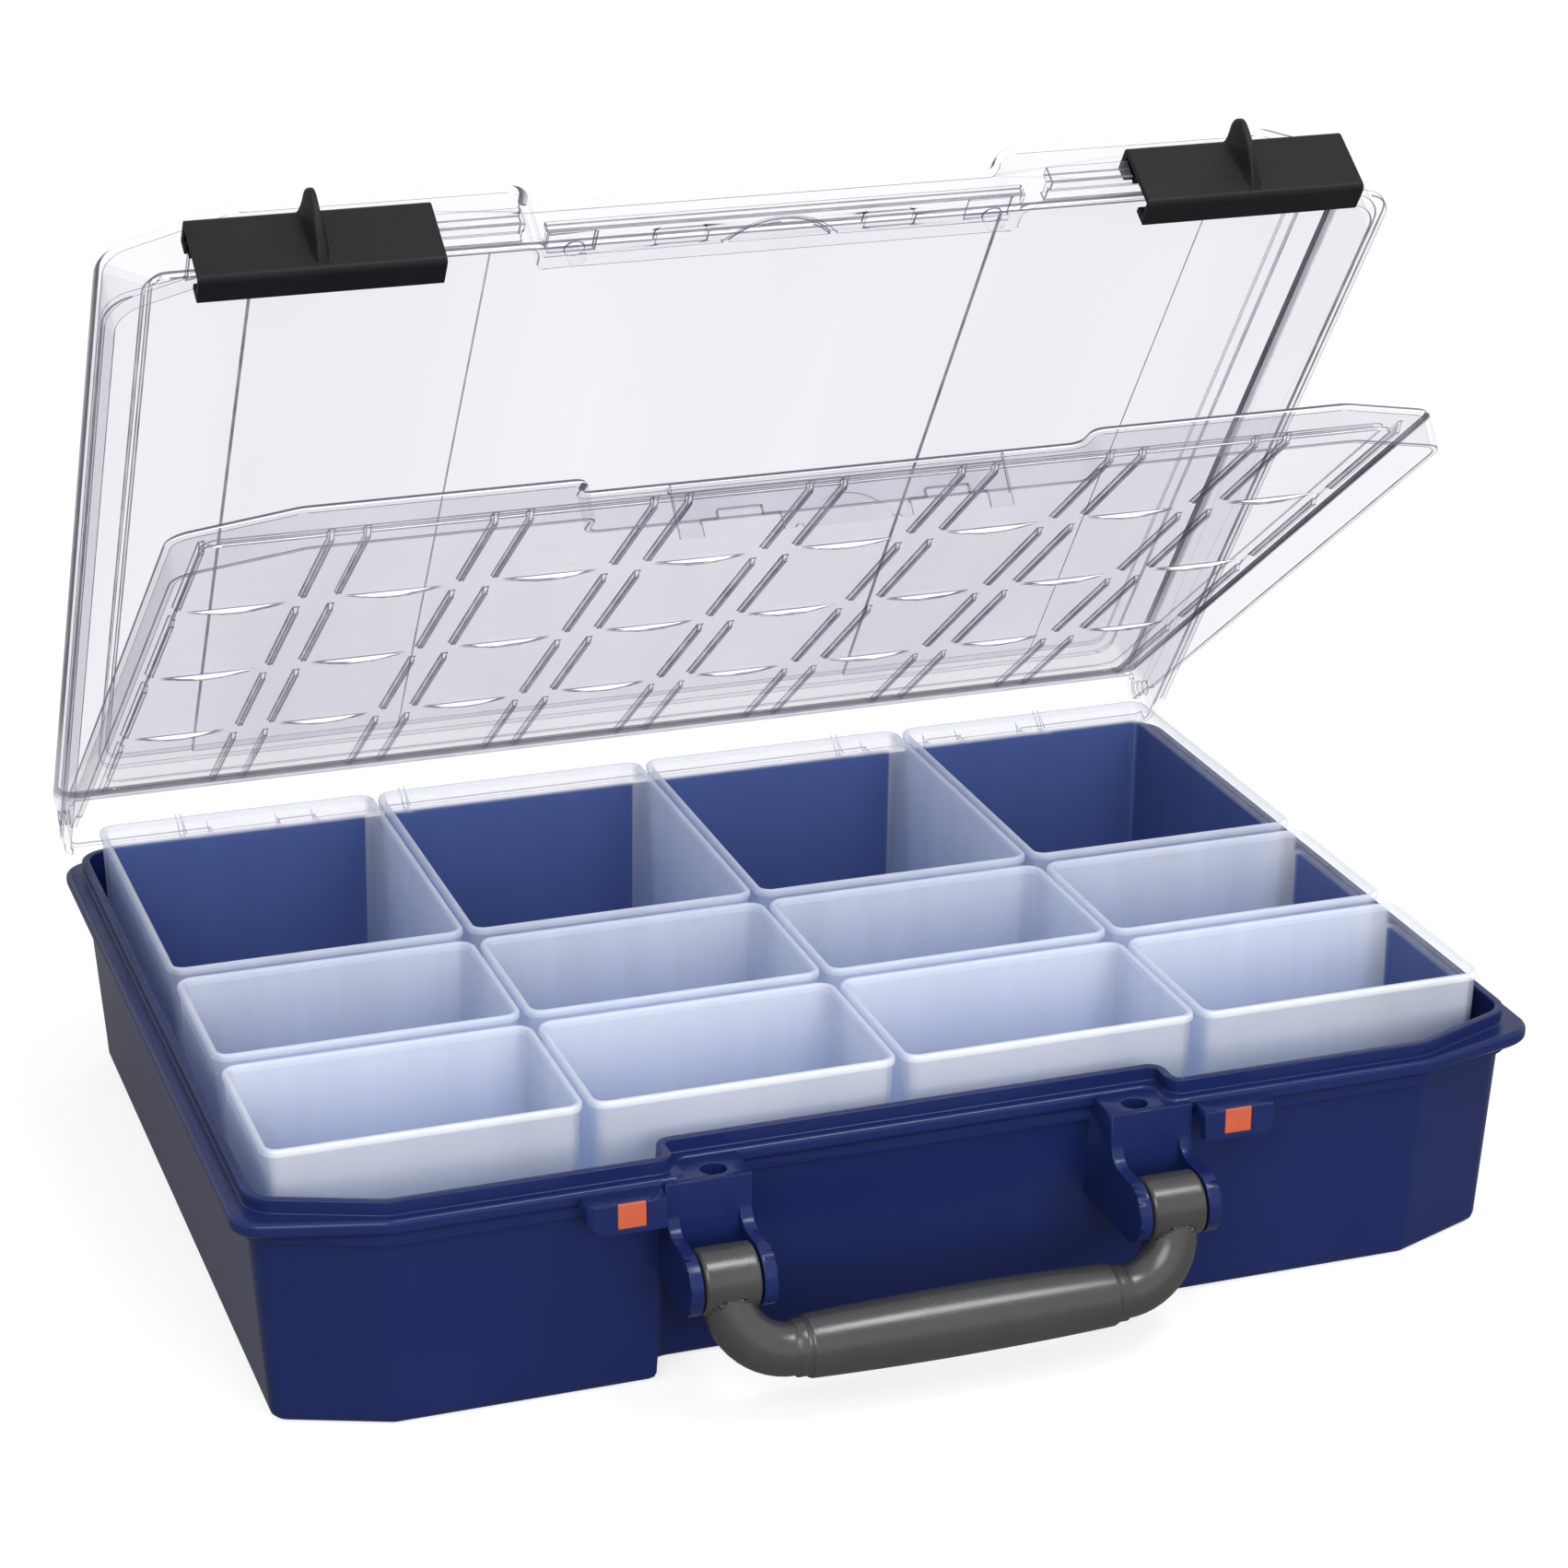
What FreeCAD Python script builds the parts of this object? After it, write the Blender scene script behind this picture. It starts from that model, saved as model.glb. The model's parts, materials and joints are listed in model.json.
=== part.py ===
import FreeCAD, Part
import math
import os

Vec = FreeCAD.Vector
X_AXIS = Vec(1, 0, 0)
Y_AXIS = Vec(0, 1, 0)
Z_AXIS = Vec(0, 0, 1)
OPENING_AXIS = Vec(-1, 0, 0)

# Assortment case, in millimetres. The origin is the centre of the tray's underside,
# +Z is up, the handle is on the -Y side and the hinge on the +Y side.

# Plan of the case at the top of the tray's lip
case_half_width = 164.2
case_front = 119.4
case_back = 119.2
chamfer_width = 30.5
chamfer_depth = 12.2
recess_half_width = 63.8
recess_depth = 9.9
back_corner_radius = 9.0
chamfer_radius = 9.0
recess_outer_radius = 4.0
recess_inner_radius = 2.0

# Tray
tray_height = 61.3
tray_draft = 4.2
tray_wall = 2.2
tray_floor = 2.4
bottom_edge_radius = 2.4
flange_drop = 3.7
flange_top = tray_height - flange_drop
flange_thickness = 4.2
flange_side = 4.3
flange_front = 2.7
flange_back = 1.8
flange_edge_radius = 1.3
flange_under_chamfer = 1.2
step_reach = 1.2
step_drop = 3.0

# Handle bracket, one each side of the recess
bracket_inset = 6.8
bracket_centre = recess_half_width - bracket_inset
bracket_reach = 4.6
bracket_front = case_front + bracket_reach
bracket_drop = 4.3
bracket_top = tray_height - bracket_drop
bracket_plate = 2.2
bracket_hole_radius = 3.1
bracket_hole_depth = 6.8
bracket_hole_inset = 2.6
bracket_hole_x = bracket_centre - bracket_hole_inset
bracket_hole_setback = 0.4
bracket_hole_y = -case_front + bracket_hole_setback
bracket_fillet = 5.0
cheek_thickness = 3.3
cheek_nose_radius = 7.8
socket_depth = 2.2

# Handle
handle_stand_off = 11.4
handle_pivot_y = -bracket_front - handle_stand_off
handle_pivot_drop = 20.5
handle_pivot_z = bracket_top - handle_pivot_drop
handle_lean = 20.0
handle_reach = 19.2
knuckle_radius = 8.0
knuckle_width = 14.0
knuckle_gap = 0.4
trunnion_radius = 3.5
trunnion_end_gap = 0.3
pin_clearance = 0.05
limb_radius = 6.5
bend_radius = 14.6
collar_length = 3.0
collar_radius = 7.0
grip_end_radius = 7.7
grip_middle_radius = 8.5

# Latch catch on the tray, and the lock flag let into its face
catch_offset = 5.2
catch_inner = recess_half_width + catch_offset
catch_length = 19.4
catch_reach = 10.1
catch_front = case_front + catch_reach
catch_drop = 1.0
catch_top = flange_top - catch_drop
catch_height = 7.8
catch_bottom = catch_top - catch_height
catch_bar = 3.2
catch_web_height = 4.3
catch_web_bottom = catch_top - catch_web_height
catch_end_chamfer = 3.0
flag_width = 7.0
flag_inset = 5.2
flag_above = 1.4
flag_thickness = 0.8

# Hinge at the back
hinge_reach = 4.8
hinge_y = case_back + hinge_reach
hinge_drop = 1.15
hinge_z = flange_top - hinge_drop
hinge_bar_radius = 2.2
hinge_zone_inner = 67.5
hinge_end_inset = 32.6
hinge_zone_outer = case_half_width - hinge_end_inset
hinge_lug_width = 3.2
lug_spread = (hinge_zone_outer - hinge_zone_inner - hinge_lug_width) / 2
hinge_lug_reach = 1.5
hinge_lug_drop = 8.0
hinge_lip_drop = 0.8
clip_radius = 3.9
clip_side_gap = 3.625
clip_width = lug_spread - hinge_lug_width - 2 * clip_side_gap
clip_mouth = 3.2
clip_gusset = 4.0
hinge_gap = 0.5

# Outer lid, drawn closed
lid_open = 54.7
lid_gap = 0.8
lid_back_gap = 3.1
lid_back_radius = 3.0
lid_wall = 2.0
lid_seat_gap = 0.6
lid_bottom = flange_top + lid_seat_gap
lid_rear_lift = 2.8
lid_rear_bottom = lid_bottom + lid_rear_lift
lid_height = 20.8
lid_top = lid_bottom + lid_height
lid_panel = 2.2
lid_edge_radius = 2.6
lid_sink = 1.8
sink_side_border = 11.7
sink_half_width = case_half_width - sink_side_border
sink_front_border = 21.4
sink_front = case_front - sink_front_border
sink_back_border = 13.2
sink_back = case_back - sink_back_border
sink_radius = 4.0
band_border = 24.5
band_outer = sink_half_width - band_border
band_width = 59.8
band_inner = band_outer - band_width
band_depth = 0.5
rim_thickness = 2.0
apron_reach = 6.1
apron_front = case_front + apron_reach
apron_thickness = 2.0
apron_bead = 1.6
apron_bead_height = 1.6
slot_x = 27.1
slot_lead = 0.6
slot_y = bracket_hole_y - slot_lead
slot_length = 13.0
slot_width = 3.2
peg_radius = 2.4
peg_drop = 3.6
pad_width = 12.0
pad_depth = 6.4
pad_height = 1.2
arch_half_width = 15.0
arch_rise = 7.6
arch_ridge = 1.2
arch_height = 1.0
hinge_rib_width = 1.5
hinge_rib_depth = 2.4
hinge_rib_height = 11.0

# Latch rail on the lid, and the latch that slides on it
rail_lead = 1.0
rail_inner = catch_inner - rail_lead
rail_end_inset = 15.2
rail_outer = case_half_width - rail_end_inset
rail_below = 0.2
rail_bottom = lid_bottom - rail_below
rail_height = 5.4
rail_top = rail_bottom + rail_height
rail_web_low = 0.9
rail_web_bottom = rail_bottom + rail_web_low
rail_web_thickness = 2.3
rail_web_top = rail_web_bottom + rail_web_thickness
latch_length = 59.5
latch_overhang = 0.5
latch_inner = rail_outer + latch_overhang - latch_length
latch_gap = 0.6
latch_wall = 1.8
latch_roof = 2.0
latch_top = rail_top + latch_gap + latch_roof
latch_edge_radius = 0.8
latch_hook_top = 2.4
latch_hook_bottom = 3.0
latch_ledge_gap = 0.4
latch_ledge_bottom = catch_top + latch_ledge_gap
latch_ledge_thickness = 0.6
latch_ledge_top = latch_ledge_bottom + latch_ledge_thickness
latch_ledge_reach = 2.6
fin_reach = 7.6
fin_thickness = 2.2
fin_rise = 2.0
fin_shoulder = 2.4
fin_bow = 1.5
fin_sweep = 3.0

# Bins: four columns, one row two units long at the back and two rows of one unit in front
columns = 4
row_units = 4
bin_side_room = 2.6
column_pitch = 2 * (case_half_width - tray_wall - bin_side_room) / columns
bin_back_room = 4.2
bins_back = case_back - bin_back_room
bin_front_room = 2.5
row_pitch = (bins_back + case_front - recess_depth - bin_front_room) / row_units
bin_gap_x = 1.3
bin_gap_y = 5.0
bin_rise = 8.5
bin_top = tray_height + bin_rise
bin_draft = 2.0
bin_wall = 1.2
bin_floor = 1.6
bin_corner_radius = 4.5
bin_rim_reach = 0.5
bin_rim_height = 2.4

# Inner lid, drawn closed
inner_droop = 18.9
inner_inset = 0.3
inner_wall = 1.6
inner_lip_gap = 2.3
inner_bottom = tray_height + inner_lip_gap
inner_panel = 1.6
inner_top_gap = 0.8
inner_top = lid_top - lid_sink - lid_panel - inner_top_gap
inner_edge_radius = 1.6
inner_sink = 0.8
inner_border = 10.5
inner_pivot_inset = 1.2
inner_pivot_y = case_back - inner_pivot_inset
inner_pivot_rise = 3.9
inner_pivot_z = inner_bottom + inner_pivot_rise
inner_pin_radius = 2.0
inner_pin_reach = 1.8
ear_radius = 3.2
rear_opening = 14.0
tongue_half_width = 43.0
tongue_thickness = 1.5
tongue_gap = 0.5
tongue_hang = 5.0
tongue_bottom = inner_bottom - tongue_hang
tongue_edge = 0.3
tongue_lead = 3.8
notch_centre = 26.7
notch_width = 20.0
notch_height = 4.4
notch_tab_width = 11.0
notch_tab_height = 2.2
moon_half_width = 13.5
moon_rise = 9.0
moon_groove = 1.4
moon_depth = 0.5
rib_gap = 0.6
rib_bottom = bin_top + rib_gap
rib_thickness = 1.4
rib_offset = 4.4
rib_end_gap = 3.4
rib_taper = 3.0

# Construction values
overlap = 2.0
least_radius = 0.4
same = 1e-6


def outline_corners(half_width, front, back, back_radius, width_cut, depth_cut, recess_half, recess_front):
    # The right half from the back corner to the recess, then the same corners mirrored.
    right = [
        (half_width, back, back_radius),
        (half_width, -front + depth_cut, chamfer_radius),
        (half_width - width_cut, -front, chamfer_radius),
        (recess_half, -front, recess_outer_radius),
        (recess_half, -recess_front, recess_inner_radius),
    ]
    left = [(-x, y, radius) for x, y, radius in reversed(right)]
    return right + left


def case_corners(back_radius=back_corner_radius):
    return outline_corners(case_half_width, case_front, case_back, back_radius,
                           chamfer_width, chamfer_depth, recess_half_width, case_front - recess_depth)


def rectangle(x0, x1, y0, y1, radius):
    return [(x0, y0, radius), (x0, y1, radius), (x1, y1, radius), (x1, y0, radius)]


def edge_normal(start, end):
    # The corners run clockwise seen from above, so outward is to the left of travel.
    along = (end - start).normalize()
    return Vec(-along.y, along.x, 0)


def neighbours(corners, i, z):
    before = corners[i - 1]
    here = corners[i]
    after = corners[(i + 1) % len(corners)]
    return [Vec(corner[0], corner[1], z) for corner in (before, here, after)]


def grown(corners, grow):
    # Every side moves outward by the same distance; round corners keep their centres.
    moved = []
    for i in range(len(corners)):
        before, here, after = neighbours(corners, i, 0)
        first = edge_normal(before, here)
        second = edge_normal(here, after)
        place = here + (first + second) * (grow / (1 + first.dot(second)))
        convex = first.cross(second).z < 0
        radius = corners[i][2] + (grow if convex else -grow)
        moved.append((place.x, place.y, max(radius, least_radius)))
    return moved


def rounded_wire(corners, z):
    arcs = []
    for i in range(len(corners)):
        before, here, after = neighbours(corners, i, z)
        radius = corners[i][2]
        back = (before - here).normalize()
        forward = (after - here).normalize()
        half_angle = back.getAngle(forward) / 2
        setback = radius / math.tan(half_angle)
        centre = here + (back + forward).normalize() * (radius / math.sin(half_angle))
        middle = centre + (here - centre).normalize() * radius
        arcs.append((here + back * setback, middle, here + forward * setback))
    edges = []
    for i in range(len(arcs)):
        edges.append(Part.LineSegment(arcs[i - 1][2], arcs[i][0]).toShape())
        edges.append(Part.Arc(*arcs[i]).toShape())
    return Part.Wire(edges)


def prism(corners, bottom, top):
    return Part.Face(rounded_wire(corners, bottom)).extrude(Vec(0, 0, top - bottom))


def tapered(sections):
    # Straight walls through a list of (corners, height) sections.
    return Part.makeLoft([rounded_wire(corners, z) for corners, z in sections], True, True)


def box(x0, x1, y0, y1, z0, z1):
    return Part.makeBox(x1 - x0, y1 - y0, z1 - z0, Vec(x0, y0, z0))


def rod(radius, x0, x1, y, z):
    return Part.makeCylinder(radius, x1 - x0, Vec(x0, y, z), X_AXIS)


def post(radius, x, y, z0, z1):
    return Part.makeCylinder(radius, z1 - z0, Vec(x, y, z0), Z_AXIS)


def side_profile(points, x0, x1):
    # A closed profile in the YZ plane, as wide as x0 to x1.
    ring = [Vec(x0, y, z) for y, z in points]
    return Part.Face(Part.makePolygon(ring + ring[:1])).extrude(Vec(x1 - x0, 0, 0))


def front_profile(points, y0, y1):
    # A closed profile in the XZ plane, as deep as y0 to y1.
    ring = [Vec(x, y0, z) for x, z in points]
    return Part.Face(Part.makePolygon(ring + ring[:1])).extrude(Vec(0, y1 - y0, 0))


def mirrored(shape):
    return shape.mirror(Vec(0, 0, 0), X_AXIS)


def both_sides(shape):
    return [shape, mirrored(shape)]


def level_edges(shape, z):
    return [edge for edge in shape.Edges
            if abs(edge.BoundBox.ZMin - z) < same and abs(edge.BoundBox.ZMax - z) < same]


def fused(shapes):
    return shapes[0].multiFuse(shapes[1:]).removeSplitter()


def opened(shape):
    # The lid and all it carries turn about the hinge bar.
    turned = shape.copy()
    turned.rotate(Vec(0, hinge_y, hinge_z), OPENING_AXIS, lid_open)
    return turned


def tray_offset(z):
    return -tray_draft * (1 - z / tray_height)


def flange_corners():
    return outline_corners(case_half_width + flange_side, case_front + flange_front,
                           case_back + flange_back, back_corner_radius,
                           chamfer_width + flange_side, chamfer_depth - flange_front,
                           recess_half_width - flange_front, case_front - recess_depth + flange_front)


def tray_shell():
    # Drafted walls on a rounded bottom edge, with a flange and a smaller step below the lip.
    corners = case_corners()
    sections = []
    for degrees in (0, 30, 60, 90):
        turn = math.radians(degrees)
        z = bottom_edge_radius * (1 - math.cos(turn))
        sections.append((grown(corners, tray_offset(z) - bottom_edge_radius * (1 - math.sin(turn))), z))
    sections.append((corners, tray_height))
    walls = tapered(sections)
    flange_bottom = flange_top - flange_thickness
    flange = prism(flange_corners(), flange_bottom, flange_top)
    flange = flange.makeFillet(flange_edge_radius, level_edges(flange, flange_top))
    flange = flange.makeChamfer(flange_under_chamfer, level_edges(flange, flange_bottom))
    step = prism(grown(corners, step_reach), flange_bottom - step_drop,
                 flange_bottom + flange_under_chamfer)
    return fused([walls, flange, step])


def tray_cavity():
    corners = case_corners()
    high = tray_height + overlap
    return tapered([(grown(corners, tray_offset(tray_floor) - tray_wall), tray_floor),
                    (grown(corners, tray_offset(high) - tray_wall), high)])


def bracket_root():
    # Bracket plates start inside the tray, behind the wall of the recess.
    return -case_front + recess_depth + tray_draft


def cheek(x0, x1):
    # A plate from the tray's wall to a round nose about the handle's pivot.
    low = handle_pivot_z - cheek_nose_radius
    high = handle_pivot_z + cheek_nose_radius
    plate = box(x0, x1, -bracket_front, bracket_root(), low, bracket_top)
    arm = box(x0, x1, handle_pivot_y, bracket_root(), low, high)
    body = plate.fuse(arm).removeSplitter()
    crook = [edge for edge in body.Edges
             if abs(edge.CenterOfMass.y + bracket_front) < same and abs(edge.CenterOfMass.z - high) < same]
    body = body.makeFillet(bracket_fillet, crook)
    return body.fuse(rod(cheek_nose_radius, x0, x1, handle_pivot_y, handle_pivot_z))


def bracket():
    # Two cheeks, a front plate and a top plate, with sockets for the handle's trunnions.
    half_gap = knuckle_width / 2 + knuckle_gap
    inner_face = bracket_centre - half_gap
    outer_face = bracket_centre + half_gap
    low = handle_pivot_z - cheek_nose_radius
    front = box(inner_face, outer_face, -bracket_front, -bracket_front + bracket_plate, low, bracket_top)
    top = box(inner_face, outer_face, -bracket_front, bracket_root(),
              bracket_top - bracket_plate, bracket_top)
    hole_bottom = bracket_top - bracket_hole_depth
    cup = post(bracket_hole_radius + bracket_plate, bracket_hole_x, bracket_hole_y,
               hole_bottom - bracket_plate, bracket_top)
    cup = cup.common(box(inner_face, outer_face, -bracket_front, bracket_root(), 0, bracket_top))
    body = fused([cheek(inner_face - cheek_thickness, inner_face),
                  cheek(outer_face, outer_face + cheek_thickness), front, top, cup])
    socket = rod(trunnion_radius + pin_clearance, inner_face - socket_depth, outer_face + socket_depth,
                 handle_pivot_y, handle_pivot_z)
    hole = post(bracket_hole_radius, bracket_hole_x, bracket_hole_y, hole_bottom, bracket_top + overlap)
    return body.cut([socket, hole])


def catch_block():
    # A bar in front of the flange with a web behind its upper half, for the latch to hook under.
    outer = catch_inner + catch_length
    front_face = [
        (catch_inner, catch_bottom),
        (outer - catch_end_chamfer, catch_bottom),
        (outer, catch_bottom + catch_end_chamfer),
        (outer, catch_top),
        (catch_inner, catch_top),
    ]
    bar = front_profile(front_face, -catch_front, -catch_front + catch_bar)
    end_edges = [edge for edge in bar.Edges
                 if edge.CenterOfMass.x > outer - same and edge.CenterOfMass.y < -catch_front + same]
    bar = bar.makeChamfer(catch_bar / 2, end_edges)
    web = box(catch_inner, outer, -catch_front + catch_bar, -case_front + tray_wall / 2,
              catch_web_bottom, catch_top)
    return bar.fuse(web)


def flag():
    x0 = catch_inner + flag_inset
    return box(x0, x0 + flag_width, -catch_front, -catch_front + flag_thickness,
               catch_bottom + flag_above, catch_top)


def hinge_bar():
    # Each hinge zone has a round bar held by three lugs.
    wall = case_back - tray_wall / 2
    profile = [
        (wall, flange_top - hinge_gap),
        (hinge_y, flange_top - hinge_gap),
        (hinge_y + hinge_lug_reach, hinge_z),
        (hinge_y, hinge_z - hinge_bar_radius),
        (wall, hinge_z - hinge_lug_drop),
    ]
    shapes = [rod(hinge_bar_radius, hinge_zone_inner, hinge_zone_outer, hinge_y, hinge_z)]
    for step in range(3):
        x0 = hinge_zone_inner + step * lug_spread
        shapes.append(side_profile(profile, x0, x0 + hinge_lug_width))
    return fused(shapes)


def clip_places():
    # Two clips per hinge zone, each midway between two lugs.
    first = hinge_zone_inner + hinge_lug_width + clip_side_gap
    return [first, first + lug_spread]


def base_tray():
    shapes = [tray_shell()]
    for feature in (bracket(), catch_block(), hinge_bar()):
        shapes.extend(both_sides(feature))
    body = fused(shapes)
    cuts = [tray_cavity()]
    cuts.extend(both_sides(flag()))
    for x0 in clip_places():
        notch = box(x0 - hinge_gap, x0 + clip_width + hinge_gap, hinge_y - clip_radius - hinge_gap,
                    hinge_y - hinge_bar_radius - hinge_gap / 2, hinge_z - hinge_lug_drop, tray_height)
        cuts.extend(both_sides(notch))
    lip = box(hinge_zone_inner, hinge_zone_outer, case_back - 2 * tray_wall, case_back + hinge_gap / 2,
              tray_height - hinge_lip_drop, tray_height + overlap)
    cuts.extend(both_sides(lip))
    return body.cut(cuts).removeSplitter()


def handle_limb(side):
    # Knuckle, trunnions, short leg and quarter bend of one side, hanging from the pivot at the origin.
    x = side * bracket_centre
    drop = handle_reach - bend_radius
    reach = knuckle_width / 2 + knuckle_gap + socket_depth - trunnion_end_gap
    ring = Part.Face(Part.Wire(Part.makeCircle(limb_radius, Vec(x, 0, -drop), Z_AXIS)))
    bend = ring.revolve(Vec(side * (bracket_centre - bend_radius), 0, -drop), Vec(0, side, 0), 90)
    return [
        rod(knuckle_radius, x - knuckle_width / 2, x + knuckle_width / 2, 0, 0),
        rod(trunnion_radius, x - reach, x + reach, 0, 0),
        post(limb_radius, x, 0, -drop, 0),
        bend,
    ]


def handle_grip():
    # A swelling grip turned about its own axis, with a narrower collar at each end.
    low = -handle_reach
    seam = bracket_centre - bend_radius
    half = seam - collar_length
    collar = low + collar_radius
    end = low + grip_end_radius
    swell = Part.Arc(Vec(-half, 0, end), Vec(0, 0, low + grip_middle_radius), Vec(half, 0, end)).toShape()
    outline = [(half, end), (half, collar), (seam, collar), (seam, low), (-seam, low), (-seam, collar),
               (-half, collar), (-half, end)]
    lines = Part.makePolygon([Vec(x, 0, z) for x, z in outline]).Edges
    return Part.Face(Part.Wire([swell] + lines)).revolve(Vec(0, 0, low), X_AXIS, 360)


def handle():
    body = fused(handle_limb(1) + handle_limb(-1) + [handle_grip()])
    body.rotate(Vec(0, 0, 0), OPENING_AXIS, handle_lean)
    body.translate(Vec(0, handle_pivot_y, handle_pivot_z))
    return body


def lid_corners():
    # The lid stands off the lip all round, and further at the recess, where the tongue hangs.
    recess_front = case_front - recess_depth + 2 * tongue_gap + tongue_thickness
    return outline_corners(case_half_width + lid_gap, case_front + lid_gap, case_back + lid_back_gap,
                           lid_back_radius, chamfer_width, chamfer_depth, recess_half_width - lid_gap,
                           recess_front)


def sunk_panel(grow, bottom, top):
    panel = rectangle(-sink_half_width, sink_half_width, -sink_front, sink_back, sink_radius)
    return prism(grown(panel, grow), bottom, top)


def arc_lift(half_width, rise):
    # How far the centre of a flat arch's circle lies beyond its chord.
    return (half_width ** 2 - rise ** 2) / (2 * rise)


def finger_arch(back, top):
    # A low half-moon ridge on the apron.
    lift = arc_lift(arch_half_width, arch_rise)
    radius = lift + arch_rise
    disc = post(radius, 0, back + lift, top, top + arch_height)
    core = post(radius - arch_ridge, 0, back + lift, top, top + arch_height)
    field = box(-arch_half_width, arch_half_width, -apron_front, back + lid_wall / 2,
                top, top + arch_height)
    return disc.cut(core).common(field)


def lid_apron():
    # The shelf over the handle recess: edge bead, finger arch, two slots and two locating pegs.
    half = recess_half_width - lid_gap - lid_wall / 2
    back = -lid_corners()[4][1]
    top = lid_bottom + apron_thickness
    shelf = box(-half, half, -apron_front, -back, lid_bottom, top)
    bead = box(-half, half, -apron_front, -apron_front + apron_bead, lid_bottom, top + apron_bead_height)
    shapes = [shelf, bead, finger_arch(-back - lid_wall, top)]
    slots = []
    for side in (1, -1):
        x = side * bracket_hole_x
        shapes.append(post(peg_radius, x, bracket_hole_y, lid_bottom - peg_drop, lid_bottom))
        shapes.append(box(x - pad_width / 2, x + pad_width / 2, bracket_hole_y - pad_depth / 2,
                          bracket_hole_y + pad_depth / 2, top, top + pad_height))
        ends = rectangle(side * slot_x - slot_length / 2, side * slot_x + slot_length / 2,
                         slot_y - slot_width / 2, slot_y + slot_width / 2, least_radius)
        slots.append(prism(ends, lid_bottom - overlap, top + overlap))
    return fused(shapes).cut(slots)


def latch_rail():
    # A bar along the lid's front on a web, T-shaped in section.
    back = -catch_front + catch_bar
    bar = box(rail_inner, rail_outer, -catch_front, back, rail_bottom, rail_top)
    web = box(rail_inner, rail_outer, back, -case_front + chamfer_depth, rail_web_bottom, rail_web_top)
    return bar.fuse(web)


def hinge_clip(x0):
    # A ring round the hinge bar, open below, on a gusset under the lid's rear wall.
    x1 = x0 + clip_width
    wall = case_back + lid_back_gap
    gusset = side_profile([(wall, hinge_z), (wall, lid_rear_bottom + clip_gusset),
                           (wall + lid_wall, lid_rear_bottom + clip_gusset),
                           (hinge_y + clip_radius, hinge_z)], x0, x1)
    bore = rod(hinge_bar_radius + pin_clearance, x0, x1, hinge_y, hinge_z)
    mouth = box(x0, x1, hinge_y - clip_mouth / 2, hinge_y + clip_mouth / 2, hinge_z - clip_radius, hinge_z)
    return rod(clip_radius, x0, x1, hinge_y, hinge_z).fuse(gusset).cut([bore, mouth])


def hinge_rib(x0):
    wall = case_back + lid_back_gap + lid_wall
    profile = [
        (wall - lid_wall / 2, lid_rear_bottom),
        (wall + hinge_rib_depth, lid_rear_bottom),
        (wall - lid_wall / 2, lid_rear_bottom + hinge_rib_height),
    ]
    return side_profile(profile, x0, x0 + hinge_rib_width)


def lid_shell():
    # Skirt, rim and a panel sunk inside a raised border, with two shallow bands along it.
    outside = grown(lid_corners(), lid_wall)
    shell = prism(outside, lid_bottom, lid_top)
    shell = shell.makeFillet(lid_edge_radius, level_edges(shell, lid_top))
    shell = shell.fuse(prism(flange_corners(), lid_bottom, lid_bottom + rim_thickness))
    floor = lid_top - lid_sink
    band = box(band_inner, band_outer, -sink_front, sink_back, floor - band_depth, lid_top)
    return shell.cut([sunk_panel(0, floor, lid_top + overlap)] + both_sides(band))


def lid_hollow():
    # The space under the lid is deeper below the raised border than below the sunk panel.
    border = prism(lid_corners(), lid_bottom - overlap, lid_top - lid_panel)
    return border.cut(sunk_panel(lid_panel, lid_top - lid_sink - lid_panel, lid_top))


def lid():
    body = fused([lid_shell(), lid_apron()] + both_sides(latch_rail()))
    rear_gap = box(-case_half_width, case_half_width, case_back, hinge_y + clip_radius,
                   lid_bottom - overlap, lid_rear_bottom)
    pin_hole = rod(inner_pin_radius + pin_clearance, case_half_width,
                   case_half_width + lid_gap + lid_wall + overlap, inner_pivot_y, inner_pivot_z)
    body = body.cut([lid_hollow(), rear_gap] + both_sides(pin_hole))
    shapes = [body]
    for x0 in clip_places():
        shapes.extend(both_sides(hinge_clip(x0)))
    for x0 in (hinge_zone_inner - hinge_rib_width, hinge_zone_outer):
        shapes.extend(both_sides(hinge_rib(x0)))
    return opened(fused(shapes))


def inner_ear():
    # The side skirt ends in a round ear about the pivot, with a pin into the lid's side.
    outer = case_half_width - inner_inset
    inner = outer - inner_wall
    plate = box(inner, outer, case_back - rear_opening - inner_wall, inner_pivot_y,
                inner_pivot_z - ear_radius, inner_top - inner_panel)
    pin_end = case_half_width + lid_gap + inner_pin_reach
    return fused([plate, rod(ear_radius, inner, outer, inner_pivot_y, inner_pivot_z),
                  rod(inner_pin_radius, inner, pin_end, inner_pivot_y, inner_pivot_z)])


def moon_groove_cut(front):
    # A half-moon groove in the face of the finger plate.
    lift = arc_lift(moon_half_width, moon_rise)
    radius = lift + moon_rise
    depth = overlap + moon_depth
    start = Vec(0, front - overlap, tongue_bottom - lift)
    disc = Part.makeCylinder(radius, depth, start, Y_AXIS)
    core = Part.makeCylinder(radius - moon_groove, depth, start, Y_AXIS)
    field = box(-moon_half_width, moon_half_width, front - overlap, front + moon_depth,
                tongue_bottom, tongue_bottom + moon_rise)
    return disc.cut(core).common(field)


def tongue_notch(front, back):
    # A wide notch in the plate's lower edge with a narrower one above it.
    top = tongue_bottom + notch_height
    wide = box(notch_centre - notch_width / 2, notch_centre + notch_width / 2, front, back,
               tongue_bottom - overlap, top)
    tab = box(notch_centre - notch_tab_width / 2, notch_centre + notch_tab_width / 2, front, back,
              top, top + notch_tab_height)
    return wide.fuse(tab)


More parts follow.
